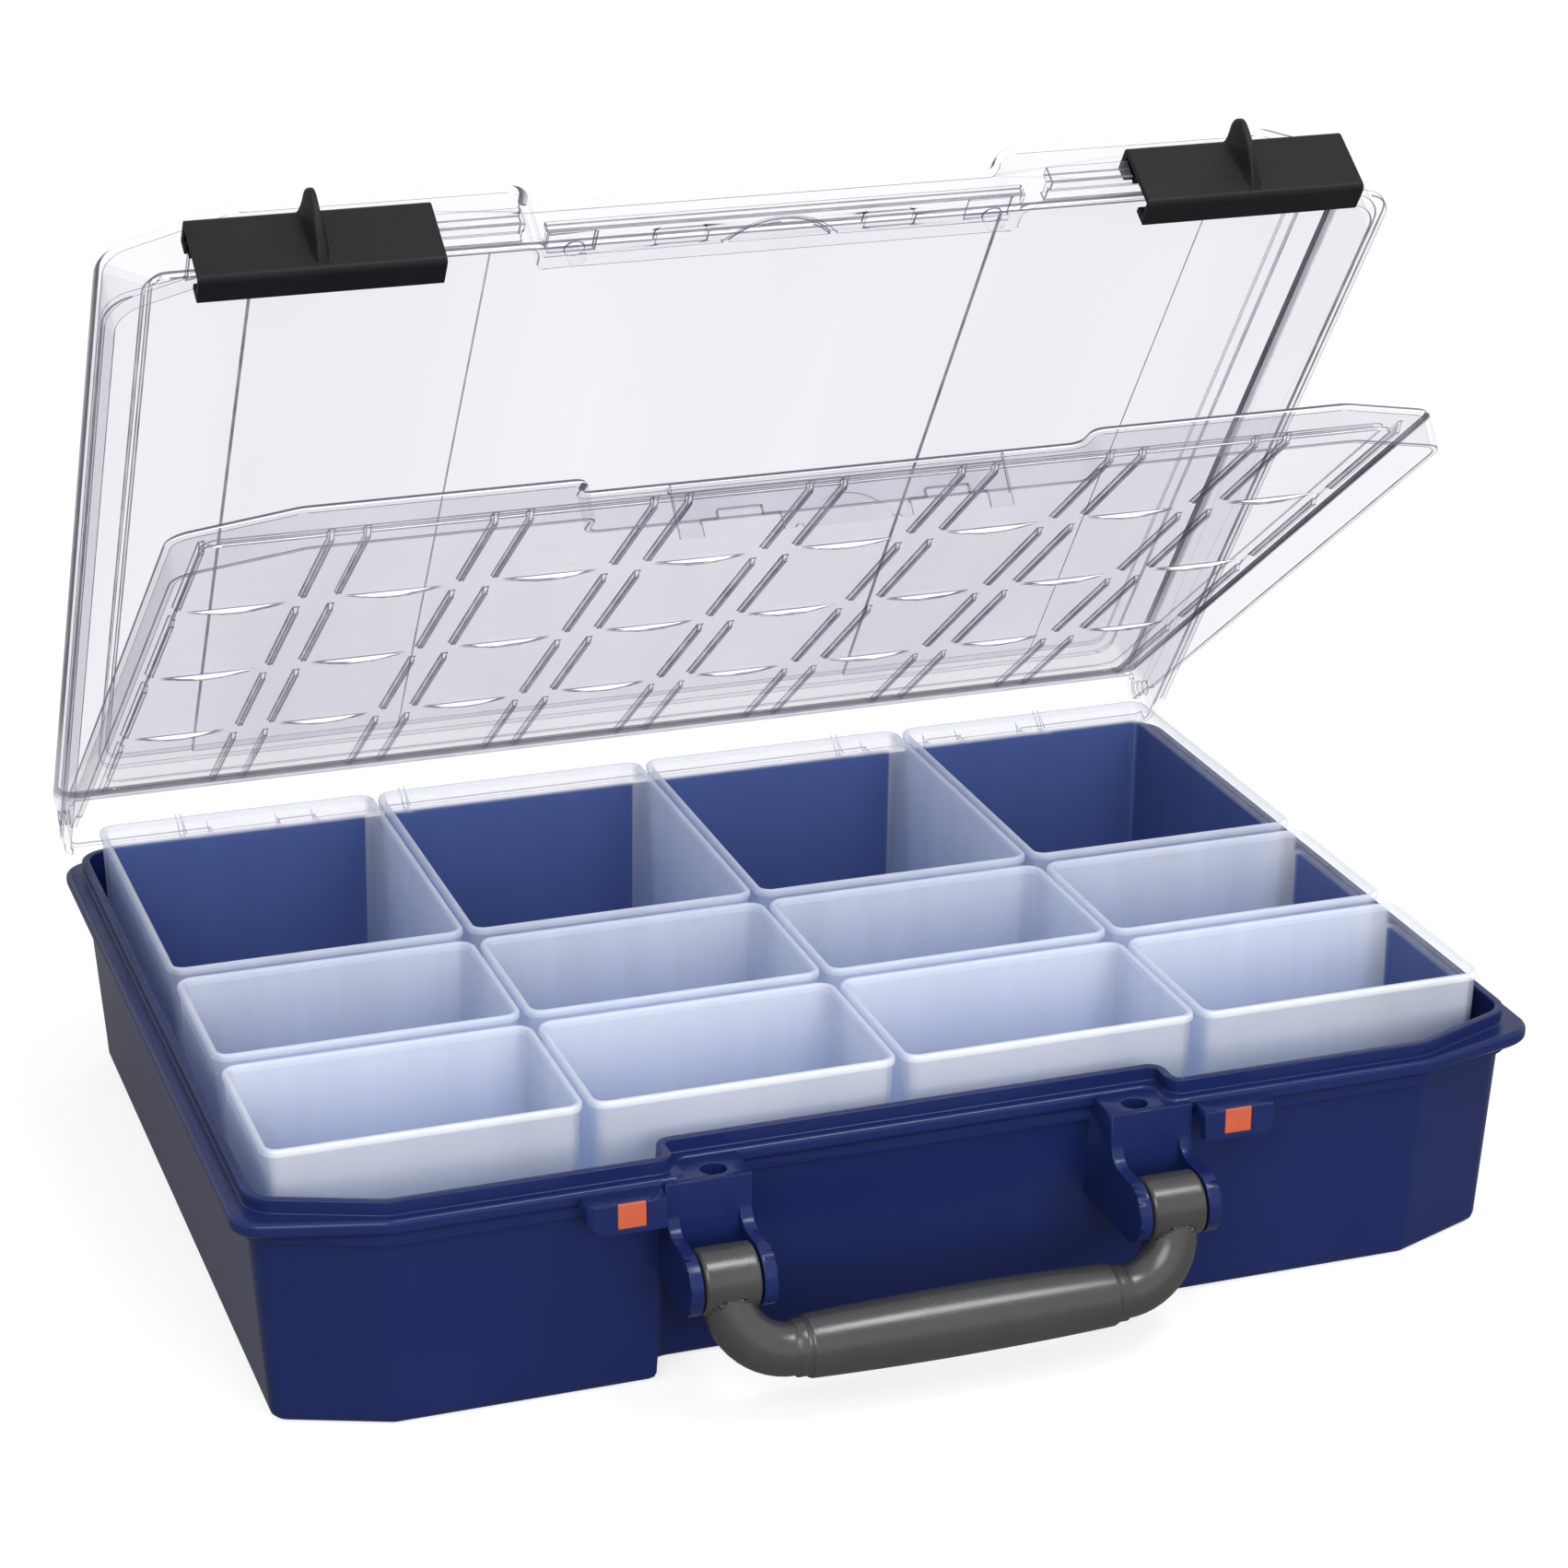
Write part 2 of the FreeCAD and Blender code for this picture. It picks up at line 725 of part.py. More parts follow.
def inner_tongue():
    # A finger plate in front of the recess lip, thinned at its lower edge to lead it past the lip,
    # with two notches and a half-moon groove.
    face = -(case_front - recess_depth) - tongue_gap
    front = face - tongue_thickness
    half = tongue_half_width
    top = inner_top - inner_panel
    section = [(front, tongue_bottom), (front + tongue_edge, tongue_bottom),
               (face, tongue_bottom + tongue_lead), (face, top), (front, top)]
    plate = side_profile(section, -half, half)
    shelf = box(-half, half, front, face + tongue_gap + inner_inset + inner_wall,
                top - inner_panel, top)
    notch = tongue_notch(front - overlap, face + tongue_gap / 2)
    return plate.fuse(shelf).cut(both_sides(notch) + [moon_groove_cut(front)])


def inner_ribs():
    # Half a column by one row per cell: a rib along each long side and a bowed rib between rows.
    top = inner_top - inner_sink - inner_panel / 2
    cell_width = column_pitch / 2
    cells = 2 * columns
    reach = cell_width / 2 - rib_offset
    front = bins_back - row_units * row_pitch
    ribs = []
    for column in range(cells):
        middle = (column - (cells - 1) / 2) * cell_width
        for row in range(row_units):
            y0 = front + row * row_pitch + rib_end_gap
            y1 = y0 + row_pitch - 2 * rib_end_gap
            shape = [(y0, top), (y0 + rib_taper, rib_bottom), (y1 - rib_taper, rib_bottom), (y1, top)]
            for x in (middle - reach, middle + reach):
                ribs.append(side_profile(shape, x - rib_thickness / 2, x + rib_thickness / 2))
        for row in range(1, row_units):
            y = front + row * row_pitch - rib_thickness / 2
            left = Vec(middle - reach, y, top)
            right = Vec(middle + reach, y, top)
            bow = Part.Arc(left, Vec(middle, y, rib_bottom), right).toShape()
            flat = Part.LineSegment(right, left).toShape()
            ribs.append(Part.Face(Part.Wire([bow, flat])).extrude(Vec(0, rib_thickness, 0)))
    return ribs


def inner_pivot():
    return opened(Part.Vertex(0, inner_pivot_y, inner_pivot_z)).Point


def inner_lid():
    # A skirted panel, sunk inside its border, that hangs in the lid on two pins.
    corners = grown(case_corners(lid_back_radius), -inner_inset)
    shell = prism(corners, inner_bottom, inner_top)
    shell = shell.makeFillet(inner_edge_radius, level_edges(shell, inner_top))
    panel_half = case_half_width - inner_border
    panel = rectangle(-panel_half, panel_half, -case_front + recess_depth + inner_border,
                      case_back - inner_border, sink_radius)
    sunk = prism(panel, inner_top - inner_sink, inner_top + overlap)
    hollow = prism(grown(corners, -inner_wall), inner_bottom - overlap, inner_top - inner_panel)
    hollow = hollow.cut(prism(grown(panel, inner_panel), inner_top - inner_sink - inner_panel, inner_top))
    rear = box(-case_half_width, case_half_width, case_back - rear_opening, case_back,
               inner_bottom - overlap, inner_top - inner_sink - inner_panel)
    shell = shell.cut([sunk, hollow, rear])
    body = opened(fused([shell, inner_tongue()] + both_sides(inner_ear()) + inner_ribs()))
    body.rotate(inner_pivot(), OPENING_AXIS, -inner_droop)
    return body


def fin_outline(x, front, bottom):
    # Seen from the side: a bowed edge up from the plate's foot, and a round nose over its top.
    root = front + latch_wall / 2
    foot = Vec(x, front, bottom)
    tip = Vec(x, front - fin_reach, latch_top - fin_shoulder)
    along = (tip - foot).normalize()
    bowed = (foot + tip) / 2 + Vec(0, -along.z, along.y) * fin_bow
    crown = Vec(x, front - fin_reach / 2, latch_top + fin_rise)
    top = Vec(x, root, latch_top - latch_edge_radius)
    lines = Part.makePolygon([top, Vec(x, root, bottom), foot]).Edges
    return Part.Wire(lines + [Part.Arc(foot, bowed, tip).toShape(), Part.Arc(tip, crown, top).toShape()])


def fin_flanks(x, front, bottom):
    # Seen from above: a blade whose sides sweep out to the plate.
    root = front + latch_wall / 2
    side = fin_thickness / 2
    foot = side + fin_sweep
    near = front - fin_sweep
    far = front - fin_reach - fin_bow
    turn = fin_sweep * (1 - math.sqrt(0.5))
    edges = []
    for hand in (1, -1):
        start = Vec(x + hand * foot, front, bottom)
        middle = Vec(x + hand * (side + turn), front - turn, bottom)
        end = Vec(x + hand * side, near, bottom)
        edges.append(Part.Arc(start, middle, end).toShape())
    crest = [(side, near), (side, far), (-side, far), (-side, near)]
    base = [(-foot, front), (-foot, root), (foot, root), (foot, front)]
    for corners in (crest, base):
        edges.extend(Part.makePolygon([Vec(x + across, y, bottom) for across, y in corners]).Edges)
    return Part.Wire(Part.__sortEdges__(edges))


def latch_fin(front, bottom):
    # A thumb fin across the plate: what its side outline and its plan share, each carried through.
    middle = latch_inner + latch_length / 2
    foot = fin_thickness / 2 + fin_sweep
    outline = Part.Face(fin_outline(middle - foot, front, bottom)).extrude(Vec(2 * foot, 0, 0))
    height = latch_top + fin_rise + fin_bow - bottom
    flanks = Part.Face(fin_flanks(middle, front, bottom)).extrude(Vec(0, 0, height))
    return outline.common(flanks)


def latch():
    # A C-channel round the rail and, once it slides inward, round the catch.
    x0 = latch_inner
    x1 = latch_inner + latch_length
    inner_face = -catch_front - latch_gap
    front = inner_face - latch_wall
    hook_face = -catch_front + catch_bar + latch_gap
    back = hook_face + latch_wall
    floor = catch_bottom - latch_gap
    bottom = floor - latch_wall
    roof = rail_top + latch_gap
    body = box(x0, x1, front, back, bottom, latch_top)
    outer_edges = [edge for edge in body.Edges
                   if edge.BoundBox.XLength > latch_length / 2 and edge.CenterOfMass.y < front + same]
    body = body.makeFillet(latch_edge_radius, outer_edges)
    channel = box(x0, x1, inner_face, hook_face, floor, roof)
    mouth = box(x0, x1, inner_face, back, floor + latch_hook_bottom, roof - latch_hook_top)
    ledge = box(x0, x1, inner_face, inner_face + latch_ledge_reach, latch_ledge_bottom, latch_ledge_top)
    return opened(fused([body.cut([channel, mouth]), ledge, latch_fin(front, floor)]))


def bin_tub(x, front, depth):
    # A tapered tub with a thickened rim; its floor rests on the tray's floor.
    half = (column_pitch - bin_gap_x) / 2
    rim = rectangle(x - half, x + half, front, front + depth, bin_corner_radius)
    wall_top = grown(rim, -bin_rim_reach)
    height = bin_top - tray_floor
    outer = tapered([(grown(wall_top, -bin_draft), tray_floor), (wall_top, bin_top)])
    low = tray_floor + bin_floor
    high = bin_top + overlap
    hollow = tapered([(grown(wall_top, -bin_draft * (bin_top - low) / height - bin_wall), low),
                      (grown(wall_top, -bin_draft * (bin_top - high) / height - bin_wall), high)])
    return outer.fuse(prism(rim, bin_top - bin_rim_height, bin_top)).cut(hollow).removeSplitter()


def bins():
    tubs = {}
    long_front = bins_back - 2 * row_pitch + bin_gap_y
    rows = (
        ("back", long_front, 2 * row_pitch - bin_gap_y),
        ("mid", long_front - row_pitch, row_pitch - bin_gap_y),
        ("front", long_front - 2 * row_pitch, row_pitch - bin_gap_y),
    )
    for name, front, depth in rows:
        for column in range(columns):
            x = (column - (columns - 1) / 2) * column_pitch
            tubs["bin_%s_%d" % (name, column + 1)] = bin_tub(x, front, depth)
    return tubs


def main():
    os.makedirs("parts", exist_ok=True)
    right_latch = latch()
    right_flag = flag()
    parts = {
        "base_tray": base_tray(),
        "lid": lid(),
        "inner_lid": inner_lid(),
        "latch_left": mirrored(right_latch),
        "latch_right": right_latch,
        "flag_left": mirrored(right_flag),
        "flag_right": right_flag,
        "handle": handle(),
    }
    parts.update(bins())
    for name, shape in parts.items():
        shape.exportStep("parts/%s.step" % name)
        facts = (name, len(shape.Solids), shape.isValid(), shape.Volume)
        print("%-12s solids %d valid %s volume %.0f" % facts)
    print("inner lid pivot %.3f %.3f" % (inner_pivot().y, inner_pivot().z))


main()
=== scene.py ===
import json
import math
import bmesh
import bpy
import numpy as np
from mathutils import Matrix, Vector


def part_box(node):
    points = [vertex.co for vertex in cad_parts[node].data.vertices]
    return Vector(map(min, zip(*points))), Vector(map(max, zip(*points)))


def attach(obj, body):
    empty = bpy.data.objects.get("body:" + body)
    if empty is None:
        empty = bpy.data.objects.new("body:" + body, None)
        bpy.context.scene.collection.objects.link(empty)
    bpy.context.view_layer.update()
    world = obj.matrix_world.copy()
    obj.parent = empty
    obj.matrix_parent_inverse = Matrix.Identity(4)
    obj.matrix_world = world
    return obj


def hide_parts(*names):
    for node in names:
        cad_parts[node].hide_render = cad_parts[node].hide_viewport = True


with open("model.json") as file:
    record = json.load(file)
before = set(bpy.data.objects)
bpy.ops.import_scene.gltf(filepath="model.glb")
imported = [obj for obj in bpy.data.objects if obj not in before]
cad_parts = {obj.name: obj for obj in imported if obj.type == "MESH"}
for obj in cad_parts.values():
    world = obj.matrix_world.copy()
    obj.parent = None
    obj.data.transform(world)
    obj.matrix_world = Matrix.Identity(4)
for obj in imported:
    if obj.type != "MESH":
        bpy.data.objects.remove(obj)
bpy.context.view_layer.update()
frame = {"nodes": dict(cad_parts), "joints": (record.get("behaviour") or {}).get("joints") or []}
scene = bpy.context.scene
scene.view_settings.view_transform = "Standard"
joints = {joint["name"]: joint for joint in frame["joints"]}
print("frame loaded:", len(frame["nodes"]), "nodes")


def turnAbout(joint, degrees):
    point = Vector(joint["pos_m"])
    turn = Matrix.Rotation(math.radians(degrees), 4, Vector(joint["axis"]))
    return Matrix.Translation(point) @ turn @ Matrix.Translation(-point)


# how the lids are turned from their closed place to where they rest
innerDroop = 18.9
openLid = turnAbout(joints["lid_hinge"], -joints["lid_hinge"]["range_deg"][0])
openInnerLid = turnAbout(joints["inner_lid_hinge"], -innerDroop) @ openLid


# the value that a noise swings about
noiseMiddle = 0.5


# shader maths: a wrapped socket that turns Python expressions into Math nodes
class Value:
    def __init__(self, finish, socket):
        self.finish = finish
        self.socket = socket

    def math(self, operation, first, second=None):
        sockets = {0: first} if second is None else {0: first, 1: second}
        return self.finish.node("ShaderNodeMath", {"operation": operation}, sockets)

    def __add__(self, other):
        return self.math("ADD", self, other)

    def __radd__(self, other):
        return self.math("ADD", other, self)

    def __sub__(self, other):
        return self.math("SUBTRACT", self, other)

    def __rsub__(self, other):
        return self.math("SUBTRACT", other, self)

    def __mul__(self, other):
        return self.math("MULTIPLY", self, other)

    def __rmul__(self, other):
        return self.math("MULTIPLY", other, self)

    def __pow__(self, other):
        return self.math("POWER", self, other)


class Finish:
    def __init__(self, owner, output="ShaderNodeOutputMaterial"):
        self.owner = owner
        self.owner.use_nodes = True
        self.tree = self.owner.node_tree
        self.tree.nodes.clear()
        self.output = self.tree.nodes.new(output)

    def node(self, kind, settings=None, sockets=None, out=0):
        made = self.tree.nodes.new(kind)
        for key, value in (settings or {}).items():
            if key == "stops":
                self.setStops(made.color_ramp, value)
            else:
                setattr(made, key, value)
        for key, value in (sockets or {}).items():
            if isinstance(value, Value):
                self.tree.links.new(value.socket, made.inputs[key])
            else:
                made.inputs[key].default_value = value
        return Value(self, made.outputs[out])

    def setStops(self, ramp, stops):
        while len(ramp.elements) < len(stops):
            ramp.elements.new(1.0)
        for element, (place, colour) in zip(ramp.elements, stops):
            element.position = place
            element.color = (*colour, 1.0)

    def place(self, scale=(1.0, 1.0, 1.0)):
        coords = self.node("ShaderNodeTexCoord", out="Object")
        return self.node("ShaderNodeMapping", {}, {"Vector": coords, "Scale": scale})

    def noise(self, scale, detail=3.0, stretch=(1.0, 1.0, 1.0)):
        sockets = {"Vector": self.place(stretch), "Scale": scale, "Detail": detail}
        return self.node("ShaderNodeTexNoise", {}, sockets)

    def axis(self, letter):
        return self.node("ShaderNodeSeparateXYZ", {}, {0: self.node("ShaderNodeTexCoord", out="Object")}, out=letter)

    def step(self, value, low, high):
        settings = {"interpolation_type": "SMOOTHSTEP"}
        return self.node("ShaderNodeMapRange", settings, {"Value": value, "From Min": low, "From Max": high})

    def larger(self, first, second):
        return self.node("ShaderNodeMath", {"operation": "MAXIMUM"}, {0: first, 1: second})

    def size(self, value):
        return self.node("ShaderNodeMath", {"operation": "ABSOLUTE"}, {0: value})

    def facingAlong(self, direction):
        normal = self.node("ShaderNodeTexCoord", out="Normal")
        dot = self.node("ShaderNodeVectorMath", {"operation": "DOT_PRODUCT"}, {0: normal, 1: direction}, out="Value")
        return self.size(dot)

    def blend(self, factor, first, second):
        first, second = (c if isinstance(c, Value) else (*c, 1.0) for c in (first, second))
        return self.node("ShaderNodeMix", {"data_type": "RGBA"}, {0: factor, 6: first, 7: second}, out=2)

    def bump(self, height, strength, distance):
        return self.node("ShaderNodeBump", {}, {"Height": height, "Strength": strength, "Distance": distance})

    def surface(self, shader):
        self.tree.links.new(shader.socket, self.output.inputs["Surface"])
        return self.owner


grainDepth = 0.0002


# moulded plastic: a slight cloudiness in the colour, a fine grain and a gloss that wanders a little
def mouldedPlastic(name, look):
    finish = Finish(bpy.data.materials.new(name))
    cloud = finish.noise(look["cloudScale"], 4.0)
    grain = finish.noise(look["grainScale"], 2.0)
    colour = finish.blend(cloud, look["dark"], look["light"])
    wander = (cloud - noiseMiddle) * look["roughSpread"] + (grain - noiseMiddle) * look["roughSpread"]
    roughness = look["rough"] + wander
    normal = finish.bump(grain, look["grain"], grainDepth)
    shader = finish.node("ShaderNodeBsdfPrincipled", {}, {
        "Base Color": colour, "Roughness": roughness, "Normal": normal, "IOR": look["ior"]})
    return finish.surface(shader)


# milky plastic: a see-through share with light passing both ways; walls close to the tray and the bin floors take a
# painted navy in place of the tray seen through them, and the walls are painted bluer towards the bottom;
# the front walls are a little denser, a painted brightening, and the walls between the back and middle rows a little
# clearer, a painted shade
# painted colours: navy is the tray's colour painted on walls and floors in place of the tray seen through them; deep
# to rim paints the walls bluer towards the bottom; the front and middle shares paint the front walls brighter and
# the walls between back and middle rows darker
milkyLook = {"rim": (0.96, 0.965, 0.975), "deep": (0.47, 0.62, 0.96), "navy": (0.060, 0.096, 0.275), "open": 0.39,
             "side": 0.08, "backed": 0.72, "above": 0.16, "glance": 0.12, "rough": 0.34, "glow": 0.38, "left": 0.45,
             "sideWall": 0.1515, "rearWall": 0.1080, "lip": 0.0628, "floor": 0.0050, "edge": 0.0676,
             "edgeShare": 0.14, "front": 0.0975, "frontPaintedLight": 0.05, "frontGlow": 0.5,
             "middle": (-0.0080, 0.0100), "middlePaintedShade": 0.10, "fade": 0.0020, "edgeFade": 0.0006,
             "upright": (0.4, 0.8), "tall": (0.010, 0.072), "cloudScale": 28.0, "cloudSpread": 0.15,
             "roughSpread": 0.12, "flowScale": 90.0, "flowSpread": 0.14, "flowBump": 0.12, "flowDepth": 0.0003}


def milkyPlastic(name):
    finish = Finish(bpy.data.materials.new(name))
    m = milkyLook
    cloud = finish.noise(m["cloudScale"], 4.0)
    flow = finish.noise(m["flowScale"], 2.0, (1.0, 1.0, 0.15))
    facing = finish.node("ShaderNodeLayerWeight", {}, {"Blend": 0.35}, out="Facing")
    x, y, z = (finish.axis(letter) for letter in "XYZ")
    beyond = lambda value, start: finish.step(value, start, start + m["fade"])
    across, along = (finish.facingAlong(direction) for direction in ((1.0, 0.0, 0.0), (0.0, 1.0, 0.0)))
    sideWall, crossWall = (finish.step(facingShare, *m["upright"]) for facingShare in (across, along))
    low = 1.0 - beyond(z, m["lip"])
    right = beyond(x, m["sideWall"]) * sideWall
    left = beyond(0.0 - x, m["sideWall"]) * sideWall * m["left"]
    rear = beyond(y, m["rearWall"]) * crossWall
    front = beyond(0.0 - y, m["front"]) * crossWall
    middle = beyond(y, m["middle"][0]) * (1.0 - beyond(y, m["middle"][1])) * crossWall
    # near and backed mark where the tray's navy is painted on: side and rear walls below the lip, and the bin floors
    near = finish.larger(finish.larger(right, left), rear)
    backed = finish.larger(near * low, 1.0 - beyond(z, m["floor"]))
    share = m["open"] + (m["backed"] - m["open"]) * backed + (m["above"] - m["open"]) * near * (1.0 - low)
    share = share + (m["glance"] * facing - m["side"] * across) * (1.0 - backed)
    share = share + (flow - noiseMiddle) * m["flowSpread"]
    share = share + m["edgeShare"] * finish.step(z, m["edge"], m["edge"] + m["edgeFade"])
    # painted light and shade through opacity: front walls denser so they look brighter, walls between back and
    # middle rows clearer so they look darker
    share = share + m["frontPaintedLight"] * front - m["middlePaintedShade"] * middle
    # painted colour: bluer towards the bottom, and the tray's navy on the backed walls and floors
    height = finish.step(z, *m["tall"]) + (cloud - noiseMiddle) * m["cloudSpread"]
    colour = finish.blend(backed, finish.blend(height, m["deep"], m["rim"]), m["navy"])
    body = finish.node("ShaderNodeBsdfPrincipled", {}, {
        "Base Color": colour, "Roughness": m["rough"] + (cloud - noiseMiddle) * m["roughSpread"],
        "Normal": finish.bump(flow, m["flowBump"], m["flowDepth"]), "IOR": 1.4})
    glow = finish.node("ShaderNodeBsdfTranslucent", {}, {"Color": (*m["deep"], 1.0)})
    # the front walls pass less light through, part of their painted brightening
    glowShare = m["glow"] * (1.0 - backed) * (1.0 - m["frontGlow"] * front)
    milk = finish.node("ShaderNodeMixShader", {}, {0: glowShare, 1: body, 2: glow})
    clear = finish.node("ShaderNodeBsdfTransparent")
    return finish.surface(finish.node("ShaderNodeMixShader", {}, {0: share, 1: clear, 2: milk}))


# clear plastic: a tinted see-through sheet with a faint streaky haze that thickens where it is seen edge-on
def clearPlastic(name, look):
    finish = Finish(bpy.data.materials.new(name))
    ripple = finish.noise(look["rippleScale"], 2.0, (1.0, 0.35, 1.0))
    streak = finish.noise(look["streakScale"], 3.0, (1.0, 0.12, 0.12))
    facing = finish.node("ShaderNodeLayerWeight", {}, {"Blend": 0.5}, out="Facing")
    through = finish.node("ShaderNodeBsdfTransparent", {}, {"Color": (*look["tint"], 1.0)})
    body = finish.node("ShaderNodeBsdfPrincipled", {}, {
        "Base Color": finish.blend(streak, look["dark"], look["pale"]),
        "Roughness": look["rough"] + (ripple - noiseMiddle) * look["roughSpread"],
        "Normal": finish.bump(ripple, look["ripple"], look["rippleDepth"]), "IOR": 1.5})
    share = look["least"] + look["glance"] * facing ** look["power"] + (streak - noiseMiddle) * look["streak"]
    return finish.surface(finish.node("ShaderNodeMixShader", {}, {0: share, 1: through, 2: body}))


# edge of clear plastic: painted dark lines stand in for the light bent at the edge, with one shade where the edge
# runs crosswise and another lengthwise, and less of it near the hinge; a rounded edge takes painted light and dark
# lines along it instead, by how far it has turned from the flat
def clearEdge(name, look, up=None):
    finish = Finish(bpy.data.materials.new(name))
    sparkle = finish.noise(look["sparkleScale"], 3.0)
    # painted light and dark lines across a rounded edge, by how far it has turned from the lid's own up
    if up:
        colour = finish.node("ShaderNodeValToRGB", {"stops": look["lines"]}, {0: finish.facingAlong(up)})
    else:
        wobble = (sparkle - noiseMiddle) * look["wobble"]
        sideways = finish.step(finish.facingAlong((1.0, 0.0, 0.0)) + wobble, *look["sideways"])
        colour = finish.blend(sideways, look["crosswise"], look["lengthwise"])
    through = finish.node("ShaderNodeBsdfTransparent", {}, {"Color": (*look["tint"], 1.0)})
    body = finish.node("ShaderNodeBsdfPrincipled", {}, {
        "Base Color": colour, "Roughness": look["rough"] + (sparkle - noiseMiddle) * look["roughSpread"],
        "Normal": finish.bump(sparkle, look["bump"], look["bumpDepth"]), "IOR": 1.5})
    away = finish.step(finish.axis("Z"), *look["hinge"])
    share = look["share"] + (sparkle - noiseMiddle) * look["spread"]
    share = share * (look["hingeShare"] + away * (1.0 - look["hingeShare"]))
    return finish.surface(finish.node("ShaderNodeMixShader", {}, {0: share, 1: through, 2: body}))


navyLook = {"dark": (0.0068, 0.0132, 0.069), "light": (0.0106, 0.0190, 0.091), "rough": 0.21, "roughSpread": 0.10,
            "cloudScale": 22.0, "grainScale": 2600.0, "grain": 0.08, "ior": 1.33}
blackLook = {"dark": (0.006, 0.006, 0.007), "light": (0.012, 0.012, 0.014), "rough": 0.44, "roughSpread": 0.16,
             "cloudScale": 60.0, "grainScale": 3200.0, "grain": 0.22, "ior": 1.27}
greyLook = {"dark": (0.030, 0.0295, 0.029), "light": (0.045, 0.0445, 0.043), "rough": 0.25, "roughSpread": 0.14,
            "cloudScale": 45.0, "grainScale": 3000.0, "grain": 0.14, "ior": 1.6}
orangeLook = {"dark": (0.40, 0.077, 0.034), "light": (0.49, 0.102, 0.047), "rough": 0.38, "roughSpread": 0.10,
              "cloudScale": 300.0, "grainScale": 3000.0, "grain": 0.10, "ior": 1.4}
lidLook = {"tint": (0.914, 0.910, 0.932), "dark": (0.52, 0.51, 0.58), "pale": (0.92, 0.92, 0.95), "rough": 0.10,
           "least": 0.03, "glance": 0.24, "power": 4.0, "streak": 0.16, "streakScale": 22.0,
           "rippleScale": 16.0, "ripple": 0.05, "rippleDepth": 0.0006, "roughSpread": 0.03}
innerLidLook = {**lidLook, "tint": (0.952, 0.949, 0.962), "streak": 0.12}
borderLook = {**lidLook, "tint": (0.988, 0.987, 0.992), "streak": 0.08}
# painted dark lines along the clear edges, darker where they run lengthwise, weaker near the hinge
edgeLook = {"tint": (0.84, 0.83, 0.87), "crosswise": (0.17, 0.16, 0.20), "lengthwise": (0.07, 0.06, 0.09),
            "share": 0.74, "spread": 0.6, "rough": 0.18, "sparkleScale": 120.0, "hinge": (0.080, 0.112),
            "hingeShare": 0.6, "wobble": 0.3, "sideways": (0.20, 0.45), "roughSpread": 0.1, "bump": 0.1,
            "bumpDepth": 0.0002}
# painted grey bars on the rib flanks
ribLook = {**edgeLook, "crosswise": (0.36, 0.34, 0.43), "lengthwise": (0.30, 0.28, 0.38), "share": 0.34}
# painted white highlight on the crosswise ribs and steps
crossRibLook = {**edgeLook, "crosswise": (1.0, 1.0, 1.0), "lengthwise": (0.62, 0.60, 0.70), "share": 0.96,
                "spread": 0.05}
# painted highlights and dark lines across the rounded upper edges of the two lids
roundLook = {**edgeLook, "share": 0.92, "spread": 0.15, "lines": (
    (0.0, (0.92, 0.92, 0.95)), (0.20, (0.92, 0.92, 0.95)), (0.34, (0.40, 0.39, 0.44)), (0.46, (0.05, 0.05, 0.07)),
    (1.0, (0.04, 0.04, 0.06)))}
lidRoundLook = {**roundLook, "lines": (
    (0.0, (0.92, 0.92, 0.95)), (0.55, (0.92, 0.92, 0.95)), (0.70, (0.45, 0.44, 0.49)), (0.82, (0.05, 0.05, 0.07)),
    (1.0, (0.04, 0.04, 0.06)))}

finishes = {
    "navy": mouldedPlastic("navyPlastic", navyLook),
    "black": mouldedPlastic("blackPlastic", blackLook),
    "grey": mouldedPlastic("greyPlastic", greyLook),
    "orange": mouldedPlastic("orangePlastic", orangeLook),
    "milky": milkyPlastic("milkyPlastic"),
    "lidClear": clearPlastic("lidClear", lidLook),
    "innerLidClear": clearPlastic("innerLidClear", innerLidLook),
    "border": clearPlastic("borderClear", borderLook),
    "edge": clearEdge("clearEdge", edgeLook),
    "rib": clearEdge("clearRib", ribLook),
    "crossRib": clearEdge("clearCrossRib", crossRibLook),
    "lidRound": clearEdge("lidRound", lidRoundLook, tuple(openLid.to_3x3() @ Vector((0, 0, 1)))),
    "innerLidRound": clearEdge("innerLidRound", roundLook, tuple(openInnerLid.to_3x3() @ Vector((0, 0, 1)))),
}
print("finishes made:", len(finishes))


def addPiece(name, mesh, body, node, materials):
    for material in materials:
        mesh.materials.append(material)
    piece = bpy.data.objects.new(name, mesh)
    scene.collection.objects.link(piece)
    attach(piece, body)
    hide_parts(node)
    return piece


# quads of a rows-by-columns grid; the columns close on themselves when wrap is set
def gridFaces(rows, columns, wrap=True):
    across = columns if wrap else columns - 1
    row, column = np.meshgrid(np.arange(rows - 1), np.arange(across), indexing="ij")
    nextColumn = (column + 1) % columns
    corners = [row * columns + column, row * columns + nextColumn,
               (row + 1) * columns + nextColumn, (row + 1) * columns + column]
    return np.stack(corners, -1).reshape(-1, 4)


# the same grid with a many-sided face closing each end
def cappedFaces(rows, columns):
    last = (rows - 1) * columns
    ends = [list(range(columns))[::-1], list(range(last, last + columns))]
    return gridFaces(rows, columns).tolist() + ends


# joins point and face arrays into one smooth mesh, with its faces turned outwards
def meshOf(name, parts):
    points = np.concatenate([part[0] for part in parts])
    starts = np.cumsum([0] + [len(part[0]) for part in parts])
    faces = [[int(i + start) for i in face] for part, start in zip(parts, starts) for face in part[1]]
    mesh = bpy.data.meshes.new(name)
    mesh.from_pydata(points, [], faces)
    work = bmesh.new()
    work.from_mesh(mesh)
    bmesh.ops.recalc_face_normals(work, faces=work.faces)
    work.to_mesh(mesh)
    work.free()
    mesh.polygons.foreach_set("use_smooth", np.ones(len(mesh.polygons), bool))
    return mesh


